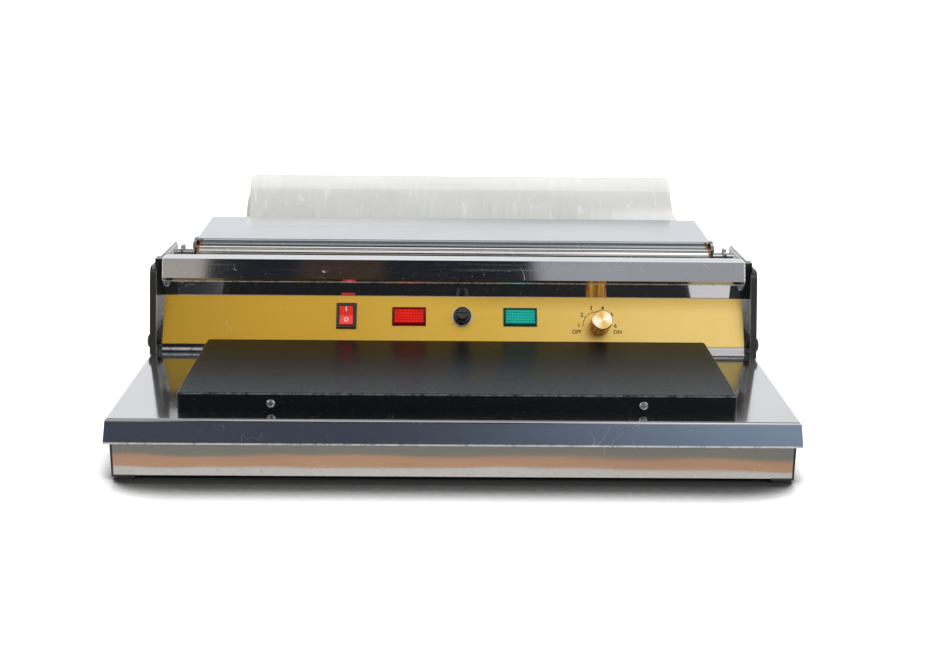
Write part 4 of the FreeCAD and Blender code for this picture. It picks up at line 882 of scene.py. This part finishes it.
class FILMWRAP_OT_rods(bpy.types.Operator):
    """Finish the cutter rod, the rollers, their rings, bushes and washers"""
    bl_idname = "film_wrap.rods"
    bl_label = "Rods and Rollers"

    def execute(self, context):
        metals = look("film_wrap_metals")
        drawn = tuple(metals.rod)
        # painted shade and reflection: the guide roller is a darker, bluer copy of the rod colour; the cutter
        # rod's lighter copy is a painted highlight
        shaded_rod_colour = [level * share for level, share in zip(drawn, (0.5, 0.56, 0.62))]
        bright = [min(1.0, level * 1.35) for level in drawn]
        dress_slot("rod_steel", steel_finish("drawn_tube", drawn, 0.1, grain=0.06))
        dress("cutter_rod", steel_finish("cutter_tube", bright, 0.08, grain=0.06))
        dress("guide_roller", steel_finish("roller_tube", shaded_rod_colour, 0.12, grain=0.06))
        for slot, light, dark, metallic, haze in (
                ("bronze", tone(190, 128, 66), tone(120, 74, 34), 1.0, 0.36),
                ("insulator", tone(158, 100, 56), tone(88, 52, 28), 0.0, 0.3),
                ("dark_washer", tone(66, 76, 98), tone(28, 32, 44), 1.0, 0.34)):
            dress_slot(slot, self.mottled(slot, light, dark, metallic, haze))
        return {"FINISHED"}

    def mottled(self, name, light, dark, metallic, haze):
        f = Finish(name, metallic=metallic)
        place = f.object_place()
        patch = f.noise(place, 380.0, 3.0).rise(0.3, 0.75)
        f.set(base_color=f.blend(light, dark, patch), roughness=haze + patch * 0.2)
        f.relief(f.noise(place, 1500.0, 1.0) * 0.02)
        return f.material


# film

def wound_finish():
    """Clear film wound tight: milky, with faint streaks round the roll and layers at its ends."""
    f = Finish("wound_film", roughness=0.35, coat_weight=0.2, coat_roughness=0.2)
    place = f.object_place()
    spindle = joints["film_spin"]["pos_m"]
    x, y, z = f.split(f.seen_from(spindle, (0, 0, 0)))
    radius = (y * y + z * z) ** 0.5
    band = f.noise(f.add("ShaderNodeCombineXYZ", None, {0: x * 90}), 1.0, 4.0, 0.6)
    fold = f.noise(f.stretched(place, (60, 12, 12)), 1.0, 3.0, 0.6, 0.4).rise(0.35, 0.75)
    layer = f.noise(f.add("ShaderNodeCombineXYZ", None, {0: radius * 2600}), 1.0, 2.0)
    film = tuple(look("film_wrap_film").film)
    grey = [level * 0.86 for level in film]
    f.set(base_color=f.blend(film, grey, band * 0.2 + fold * 0.3 + layer * 0.2))
    f.relief(band * 0.06 + fold * 0.1 + layer * 0.05)
    return f.material


class FILMWRAP_OT_film_roll(bpy.types.Operator):
    """Wind the film roll, with worn shoulders and uneven layers at its ends"""
    bl_idname = "film_wrap.film_roll"
    bl_label = "Film Roll"

    layers = 14
    left_inset = 3.0 * MM
    right_inset = 2.6 * MM

    def execute(self, context):
        low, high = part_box("film_roll")
        spindle = Vector(joints["film_spin"]["pos_m"])
        outer = (high.z - low.z) / 2
        core_low, core_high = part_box("film_core")
        bore = (core_high.z - core_low.z) / 2 + 0.02 * MM
        shoulder = look("film_wrap_film").shoulder
        left, right = low.x + self.left_inset, high.x - self.right_inset
        half = (right - left) / 2
        centre = Vector(((left + right) / 2, spindle.y, spindle.z))
        roll = bmesh.new()
        outline = self.outline(half, outer, bore, shoulder)
        points = [roll.verts.new((x, 0, radius)) for x, radius in outline]
        lines = [roll.edges.new((points[i], points[i + 1])) for i in range(len(points) - 1)]
        lines.append(roll.edges.new((points[-1], points[0])))
        bmesh.ops.spin(roll, geom=points + lines, cent=(0, 0, 0), axis=(1, 0, 0),
                       angle=math.tau, steps=96, use_merge=True)
        bmesh.ops.remove_doubles(roll, verts=roll.verts, dist=1e-6)
        for vert in roll.verts:
            self.unevenness(vert, outer)
        bmesh.ops.recalc_face_normals(roll, faces=roll.faces)
        bmesh.ops.translate(roll, vec=centre, verts=roll.verts)
        piece = piece_from("wound_film", roll, wound_finish(), "film", ("film_roll",))
        smooth(piece, math.radians(50))
        core = Finish("core_board", roughness=0.75)
        place = core.object_place()
        fibre = core.noise(core.stretched(place, (40, 160, 160)), 1.0, 4.0, 0.6)
        core.set(base_color=core.blend(tone(240, 238, 232), tone(216, 212, 202), fibre))
        core.relief(fibre * 0.08)
        dress_slot("core_board", core.material)
        return {"FINISHED"}

    def outline(self, half, outer, bore, shoulder):
        """Half section of the roll, from the core out over one end, along it and back to the core."""
        face = []
        for layer in range(self.layers):
            radius = bore + (outer - shoulder - bore) * layer / (self.layers - 1)
            face.append((half - abs(noise.noise((layer * 0.9, 3.1, 0))) * 0.9 * MM, radius))
        bend = [(half - shoulder + shoulder * math.cos(angle), outer - shoulder + shoulder * math.sin(angle))
                for angle in (math.radians(a) for a in (15, 35, 55, 75, 90))]
        body = [(half * share, outer) for share in (0.9, 0.75, 0.6, 0.45, 0.3, 0.15, 0.0)]
        right = face + bend + body
        left = [(-x, radius) for x, radius in reversed(right[:-1])]
        return right + left

    def unevenness(self, vert, outer):
        """Sink the outer windings a little where the film was wound loosely."""
        radius = math.hypot(vert.co.y, vert.co.z)
        if radius < outer * 0.9:
            return
        angle = math.atan2(vert.co.z, vert.co.y)
        dip = noise.noise((vert.co.x * 45, math.cos(angle) * 1.2, math.sin(angle) * 1.2))
        shrink = 1 - abs(dip) * 0.5 * MM / radius
        vert.co.y *= shrink
        vert.co.z *= shrink


class FILMWRAP_OT_film_web(bpy.types.Operator):
    """Hang the loose web from the roll, creased down its length and flared at its lower corner"""
    bl_idname = "film_wrap.film_web"
    bl_label = "Loose Film Web"

    columns = 220
    rows = 72
    hug_steps = 17
    drop_steps = 24
    left_inset = 3.0 * MM
    right_inset = 2.6 * MM
    first_angle = math.radians(-25)
    last_angle = math.radians(60)

    def execute(self, context):
        low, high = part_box("film_tail")
        roll_low, roll_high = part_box("film_roll")
        spindle = Vector(joints["film_spin"]["pos_m"])
        radius = (roll_high.z - roll_low.z) / 2 + 0.35 * MM
        route = self.route(spindle, radius, low)
        lengths = [0.0]
        for first, second in zip(route, route[1:]):
            lengths.append(lengths[-1] + (second - first).length)
        web = bmesh.new()
        bmesh.ops.create_grid(web, x_segments=self.columns, y_segments=self.rows, size=0.5)
        width = high.x - low.x - self.left_inset - self.right_inset
        middle_x = (low.x + self.left_inset + high.x - self.right_inset) / 2
        for vert in web.verts:
            side, down = vert.co.x, 0.5 - vert.co.y
            spot, out = self.along(route, lengths, down)
            past = down * lengths[-1] - lengths[self.hug_steps]
            vert.co = self.creased(spot, out, side, down, past, width, middle_x)
        bmesh.ops.recalc_face_normals(web, faces=web.faces)
        if sum(face.normal.y for face in web.faces) > 0:
            bmesh.ops.reverse_faces(web, faces=web.faces)
        piece = piece_from("loose_web", web, self.web_finish(), "frame", ("film_tail",))
        smooth(piece, math.radians(80))
        skin = piece.modifiers.new("Thickness", "SOLIDIFY")
        skin.thickness = 0.12 * MM
        return {"FINISHED"}

    def route(self, spindle, radius, low):
        """The web's side view: round the roll's front, then down behind the shelf."""
        turn = (self.last_angle - self.first_angle) / self.hug_steps
        angles = [self.first_angle + turn * step for step in range(self.hug_steps + 1)]
        hugging = [spindle + Vector((0, -math.sin(angle), math.cos(angle))) * radius for angle in angles]
        leave = hugging[-1]
        foot = Vector((spindle.x, low.y + 0.2 * MM, low.z))
        knee = Vector((spindle.x, low.y + 1.5 * MM, leave.z - (leave.y - low.y) * 1.9))
        curve = []
        bend = leave - Vector((0, math.cos(self.last_angle), math.sin(self.last_angle))) * 14 * MM
        for step in range(1, self.drop_steps + 1):
            t = step / self.drop_steps
            curve.append((1 - t) ** 3 * leave + 3 * (1 - t) ** 2 * t * bend + 3 * (1 - t) * t * t * knee
                         + t ** 3 * foot)
        return hugging + curve

    def along(self, route, lengths, share):
        """The point at a share of the route's length, and the direction out of the web there."""
        goal = lengths[-1] * min(max(share, 0.0), 1.0)
        for index in range(len(route) - 1):
            if lengths[index + 1] >= goal or index == len(route) - 2:
                step = (goal - lengths[index]) / (lengths[index + 1] - lengths[index])
                spot = route[index].lerp(route[index + 1], step)
                run = (route[index + 1] - route[index]).normalized()
                return spot, Vector((0, run.z, -run.y))

    def creased(self, spot, out, side, down, past, width, middle_x):
        """Move a point of the web off its route by long creases that deepen away from the roll.

        past is how far down the web the point is from where it leaves the roll."""
        settings = look("film_wrap_film")
        free = min(1.0, max(0.0, past / (22 * MM) + 1))
        fine = noise.noise((side * 60, down * 1.6, 2.0))
        broad = noise.noise((side * 15, down * 1.1, 7.0))
        lean = noise.noise((side * 34 + down * 12, down * 2.2, 11.0))
        lift = (abs(fine) * 0.5 + broad * 0.8 + max(0.0, lean) * 1.2) * settings.crease * free
        lift = max(lift, min(0.0, -0.05 * past))
        round_off = max(0.0, min(1.0, (-past - 29 * MM) / (26 * MM)))
        taper = 1.5 * settings.shoulder * round_off * round_off
        hem = min(1.0, max(0.0, past + 3 * MM) / (16 * MM))
        corner = max(0.0, (side - 0.42) / 0.08) ** 2
        x = middle_x + side * (width - taper) + 5.5 * MM * hem * hem * corner
        return Vector((x, spot.y, spot.z)) + out * (lift + 0.05 * MM)

    def web_finish(self):
        f = Finish("web_film", roughness=0.3, coat_weight=0.2, coat_roughness=0.15)
        place = f.object_place()
        streak = f.noise(f.stretched(place, (55, 10, 14)), 1.0, 3.0, 0.55, 1.2)
        cloud = f.noise(f.stretched(place, (14, 30, 40)), 1.0, 3.0).rise(0.35, 0.75)
        x, z = f.split(place)[::2]
        spindle_z = joints["film_spin"]["pos_m"][2]
        # painted reflection: the web is left pale above this line and laid greyer below it
        below_sheen_line = z.rise(spindle_z + 35 * MM, spindle_z + 33.5 * MM)
        # painted highlights: white glints on creases low on the web, and a white fold at its lower right
        crease_glints = f.noise(f.stretched(place, (150, 26, 36), (0, 0.3, 0)), 1.0, 2.0, 0.6, 1.6).rise(0.6, 0.72)
        fold_highlight = x.rise(0.11, 0.17) * z.rise(spindle_z + 24 * MM, spindle_z + 14 * MM)
        film = tuple(look("film_wrap_film").film)
        grey = [level * 0.7 for level in film]
        dull = f.blend(film, grey, streak.rise(0.35, 0.75) * 0.15 + cloud * 0.2 + below_sheen_line * 0.32)
        f.set(base_color=f.blend(dull, (1, 1, 1), (crease_glints * below_sheen_line * 0.6).larger(fold_highlight * 0.8)),
              alpha=0.86 + streak.rise(0.5, 0.8) * 0.1)
        f.relief(streak * 0.15)
        return f.material


# parts inside and underneath

class FILMWRAP_OT_inside(bpy.types.Operator):
    """Finish the feet and the parts under the covers"""
    bl_idname = "film_wrap.inside"
    bl_label = "Feet and Inner Parts"

    def execute(self, context):
        for slot, light, dark, haze, scale in (
                ("rubber", tone(32, 32, 33), tone(52, 52, 54), 0.72, 420.0),
                ("white_plastic", tone(228, 227, 220), tone(206, 204, 196), 0.38, 300.0),
                ("mica", tone(184, 174, 142), tone(150, 136, 104), 0.5, 180.0),
                ("fibre_pad", tone(232, 230, 224), tone(206, 203, 196), 0.95, 600.0),
                ("laminations", tone(92, 92, 96), tone(58, 56, 58), 0.5, 900.0),
                ("winding", tone(190, 140, 70), tone(150, 100, 44), 0.5, 500.0)):
            dress_slot(slot, self.plain(slot, light, dark, haze, scale))
        glass = Finish("fuse_glass", roughness=0.05, transmission_weight=0.9, ior=1.45)
        cloud = glass.noise(glass.object_place(), 200.0)
        glass.set(base_color=glass.blend(tone(232, 238, 238), tone(214, 222, 222), cloud))
        dress_slot("fuse_glass", glass.material)
        return {"FINISHED"}

    def plain(self, name, light, dark, haze, scale):
        f = Finish(name)
        patch = f.noise(f.object_place(), scale, 3.0).rise(0.3, 0.75)
        f.set(base_color=f.blend(light, dark, patch), roughness=haze + patch * 0.08)
        f.relief(patch * 0.03)
        return f.material


# studio

CAMERA_PLACE = Vector((-4.44, -1156.55, 370.46)) * MM
CAMERA_YAW = math.radians(0.730)
CAMERA_PITCH = math.radians(16.517)
CAMERA_ROLL = math.radians(0.611)
CAMERA_LENS = 52.58
TABLE_START = 0.281
TABLE_DEPTH = 1.5
PALE_TABLE = 12 * MM


class FILMWRAP_OT_studio(bpy.types.Operator):
    """Set the floor, the cards that the steel mirrors, the lamps and the camera"""
    bl_idname = "film_wrap.studio"
    bl_label = "Studio"

    def execute(self, context):
        studio = look("film_wrap_studio")
        self.lay_floor()
        self.set_table_card()
        self.set_room_card()
        self.set_ceiling_card()
        self.light_world(studio.fill)
        self.hang_lamp("key_lamp", (0.1, 1.5, 2.3), 1.7, studio.key)
        self.hang_lamp("front_lamp", (0.9, -1.9, 1.6), 1.6, studio.front)
        self.set_camera(context)
        return {"FINISHED"}

    def flat(self, name, material, place):
        plane = bmesh.new()
        bmesh.ops.create_grid(plane, x_segments=1, y_segments=1, size=0.5)
        bmesh.ops.transform(plane, matrix=place, verts=plane.verts)
        mesh = bpy.data.meshes.new(name)
        plane.to_mesh(mesh)
        plane.free()
        mesh.materials.append(material)
        card = bpy.data.objects.new(name, mesh)
        bpy.context.scene.collection.objects.link(card)
        return card

    def shown(self, tree, mirrored=1.0):
        """1 for the rays that show the background, and the given level for those off metal."""
        path = tree.add("ShaderNodeLightPath")
        outs = path.socket.node.outputs
        camera, glossy, through = (Term(tree, outs[name]) for name in (
            "Is Camera Ray", "Is Glossy Ray", "Is Transmission Ray"))
        return camera.larger(glossy * mirrored).larger(through)

    def lay_floor(self):
        """A pale floor that keeps a soft shadow, deepest in front, where light comes from behind."""
        f = Finish("pale_floor", roughness=0.7, specular_ior_level=0.1, emission_strength=1.0)
        leaning = f.add("ShaderNodeCombineXYZ", None, {1: 0.6, 2: 0.8})
        near = f.add("ShaderNodeAmbientOcclusion", {"samples": 16},
                     {"Distance": 0.07, "Normal": leaning}, out="AO")
        shade = near.rise(0.42, 0.8)
        f.set(base_color=f.blend(tone(60, 60, 60), tone(250, 250, 250), shade),
              emission_color=f.blend((0, 0, 0), (0.6, 0.6, 0.6), self.shown(f, 0.1) * shade))
        self.flat("floor", f.material, Matrix.Scale(60, 4))

    def mirror_card(self, name, material, place):
        """A card that only reflections see."""
        card = self.flat(name, material, place)
        card.visible_camera = False
        card.visible_diffuse = False
        card.visible_transmission = False
        card.visible_volume_scatter = False
        card.visible_shadow = False

    def glow(self, f, colour):
        f.shader.inputs["Base Color"].default_value = (0, 0, 0, 1)
        f.set(emission_color=colour, emission_strength=1.0, roughness=1.0, specular_ior_level=0.0)

    def set_table_card(self):
        """The table top in front: pale by the machine, then brown wood, then the dim room."""
        f = Finish("table_card")
        x, y = f.split(f.object_place())[:2]
        bow = f.noise(f.add("ShaderNodeCombineXYZ", None, {0: x * 6}), 1.0, 2.0, 0.5) * 30 * MM
        reach = bow - y - (TABLE_START + PALE_TABLE)
        grain = f.noise(f.stretched(f.object_place(), (18, 320, 1)), 1.0, 4.0, 0.7)
        grit = f.noise(f.object_place(), 260.0, 4.0, 0.8).rise(0.5, 0.8)
        wood = f.blend(tone(232, 186, 150), tone(188, 140, 108), grain)
        pale = f.blend(tone(228, 222, 212), tone(160, 156, 150), grit)
        dull = f.blend(tone(156, 154, 142), tone(128, 126, 118), grain)
        room_floor = f.blend(tone(72, 79, 91), tone(158, 177, 200), x.rise(-0.1, 0.45))
        near = f.blend(f.blend(pale, wood, reach.rise(19 * MM, 21 * MM)), dull, reach.rise(41 * MM, 43 * MM))
        self.glow(f, f.blend(near, room_floor, reach.rise(90 * MM, 130 * MM)))
        size = Matrix.Diagonal((2.6, TABLE_DEPTH, 1, 1))
        middle = Matrix.Translation((0, -TABLE_START - TABLE_DEPTH / 2, 0.6 * MM))
        self.mirror_card("table_card", f.material, middle @ size)

    def set_room_card(self):
        """The dim room behind the camera, lighter at the far left and to the right."""
        f = Finish("room_card")
        x, z = f.split(f.object_place())[::2]
        wander = f.noise(f.object_place(), 1.3, 2.0) - 0.5
        right = (x + wander * 0.2 + z * 0.12).rise(0.36, 0.4)
        left = (x + wander * 0.1).rise(-0.6, -0.62) * z.rise(1.6, 1.5)
        brown = x.rise(-0.4, -0.36) * x.rise(-0.15, -0.19) * z.rise(1.6, 1.4)
        low_part = f.blend(f.blend(tone(34, 38, 44), tone(68, 55, 44), brown), tone(182, 182, 186), right)
        low_part = f.blend(low_part, tone(190, 182, 172), left)
        above = (z - self.lit_height(x)).rise(-0.08, 0.08)
        self.glow(f, f.blend(low_part, self.lit_wall(f, x), above))
        upright = Matrix.Rotation(math.radians(90), 4, "X")
        size = Matrix.Diagonal((6.0, 3.2, 1, 1))
        self.mirror_card("room_card", f.material, Matrix.Translation((0, -2.2, 1.6)) @ upright @ size)

    def lit_wall(self, f, x):
        """The lit part of the room's wall and ceiling, brightest at the right."""
        return f.blend(tone(246, 240, 232), (1.55, 1.45, 1.34), x.rise(0.35, 0.65))

    def lit_height(self, x):
        """The height above which the room behind the camera is lit: lower at the right."""
        return 2.2 - x.rise(-0.68, -0.56) * 0.6 - x.rise(0.3, 0.6) * 0.05

    def set_ceiling_card(self):
        """The ceiling: bright in front, a dim blue grey overhead and behind."""
        f = Finish("ceiling_card")
        x, y = f.split(f.object_place())[:2]
        beam = 1 - abs(y - 0.1).rise(0.12, 0.3)
        overhead = f.blend(tone(96, 106, 116), tone(240, 240, 236), beam)
        self.glow(f, f.blend(self.lit_wall(f, x), overhead, y.rise(-1.3, -1.0)))
        size = Matrix.Diagonal((6.0, 4.4, 1, 1))
        self.mirror_card("ceiling_card", f.material, Matrix.Translation((0, 0, 3.2)) @ size)

    def light_world(self, fill):
        world = bpy.data.worlds.new("studio")
        world.use_nodes = True
        tree = Tree(world.node_tree)
        shown = self.shown(tree)
        level = fill + shown * (1 - fill)
        light = tree.add("ShaderNodeBackground", None, {"Color": (1, 1, 1), "Strength": level})
        surface = tree.tree.nodes.new("ShaderNodeOutputWorld")
        tree.tree.links.new(light.socket, surface.inputs["Surface"])
        bpy.context.scene.world = world

    def hang_lamp(self, name, place, size, power):
        lamp = bpy.data.lights.new(name, "AREA")
        lamp.size = size
        lamp.energy = power
        carrier = bpy.data.objects.new(name, lamp)
        bpy.context.scene.collection.objects.link(carrier)
        carrier.location = place
        carrier.rotation_euler = (Vector((0, 0, 0.05)) - Vector(place)).to_track_quat("-Z", "Y").to_euler()
        carrier.visible_glossy = False

    def set_camera(self, context):
        """Stand the camera where the photograph was taken from."""
        forward = Vector((math.sin(CAMERA_YAW) * math.cos(CAMERA_PITCH),
                          math.cos(CAMERA_YAW) * math.cos(CAMERA_PITCH), -math.sin(CAMERA_PITCH)))
        level = Vector((math.cos(CAMERA_YAW), -math.sin(CAMERA_YAW), 0))
        upright = level.cross(forward)
        right = level * math.cos(CAMERA_ROLL) + upright * math.sin(CAMERA_ROLL)
        top = upright * math.cos(CAMERA_ROLL) - level * math.sin(CAMERA_ROLL)
        data = bpy.data.cameras.new("photo_camera")
        data.lens = CAMERA_LENS
        data.sensor_width = 36
        data.clip_start = 0.01
        data.clip_end = 100
        camera = bpy.data.objects.new("photo_camera", data)
        context.scene.collection.objects.link(camera)
        turn = Matrix((right, top, -forward)).transposed().to_4x4()
        camera.matrix_world = Matrix.Translation(CAMERA_PLACE) @ turn
        context.scene.camera = camera


OPERATORS = (
    FILMWRAP_OT_sheet_metal,
    FILMWRAP_OT_enamel,
    FILMWRAP_OT_hot_plate,
    FILMWRAP_OT_fascia,
    FILMWRAP_OT_mouldings,
    FILMWRAP_OT_dial,
    FILMWRAP_OT_knob,
    FILMWRAP_OT_rocker,
    FILMWRAP_OT_lenses,
    FILMWRAP_OT_rods,
    FILMWRAP_OT_inside,
    FILMWRAP_OT_film_roll,
    FILMWRAP_OT_film_web,
    FILMWRAP_OT_studio,
)


class FILMWRAP_PT_sidebar(bpy.types.Panel):
    """Lists the machine's settings and the steps that dress it"""
    bl_idname = "FILMWRAP_PT_sidebar"
    bl_label = "Film Wrapping Machine"
    bl_space_type = "VIEW_3D"
    bl_region_type = "UI"
    bl_category = "Wrapper"

    def draw(self, context):
        layout = self.layout
        for name, group in SETTINGS.items():
            box = layout.box()
            for prop in group.__annotations__:
                box.prop(getattr(context.scene, name), prop)
        for operator in OPERATORS:
            layout.operator(operator.bl_idname)


CLASSES = (*SETTINGS.values(), *OPERATORS, FILMWRAP_PT_sidebar)


def register():
    for item in CLASSES:
        bpy.utils.register_class(item)
    for name, group in SETTINGS.items():
        setattr(bpy.types.Scene, name, bpy.props.PointerProperty(type=group))


def unregister():
    for name in SETTINGS:
        delattr(bpy.types.Scene, name)
    for item in reversed(CLASSES):
        bpy.utils.unregister_class(item)


def main():
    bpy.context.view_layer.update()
    register()
    for operator in OPERATORS:
        group, name = operator.bl_idname.split(".")
        getattr(getattr(bpy.ops, group), name)()
    bpy.context.scene.view_settings.view_transform = "Standard"


if __name__ == "__main__":
    main()
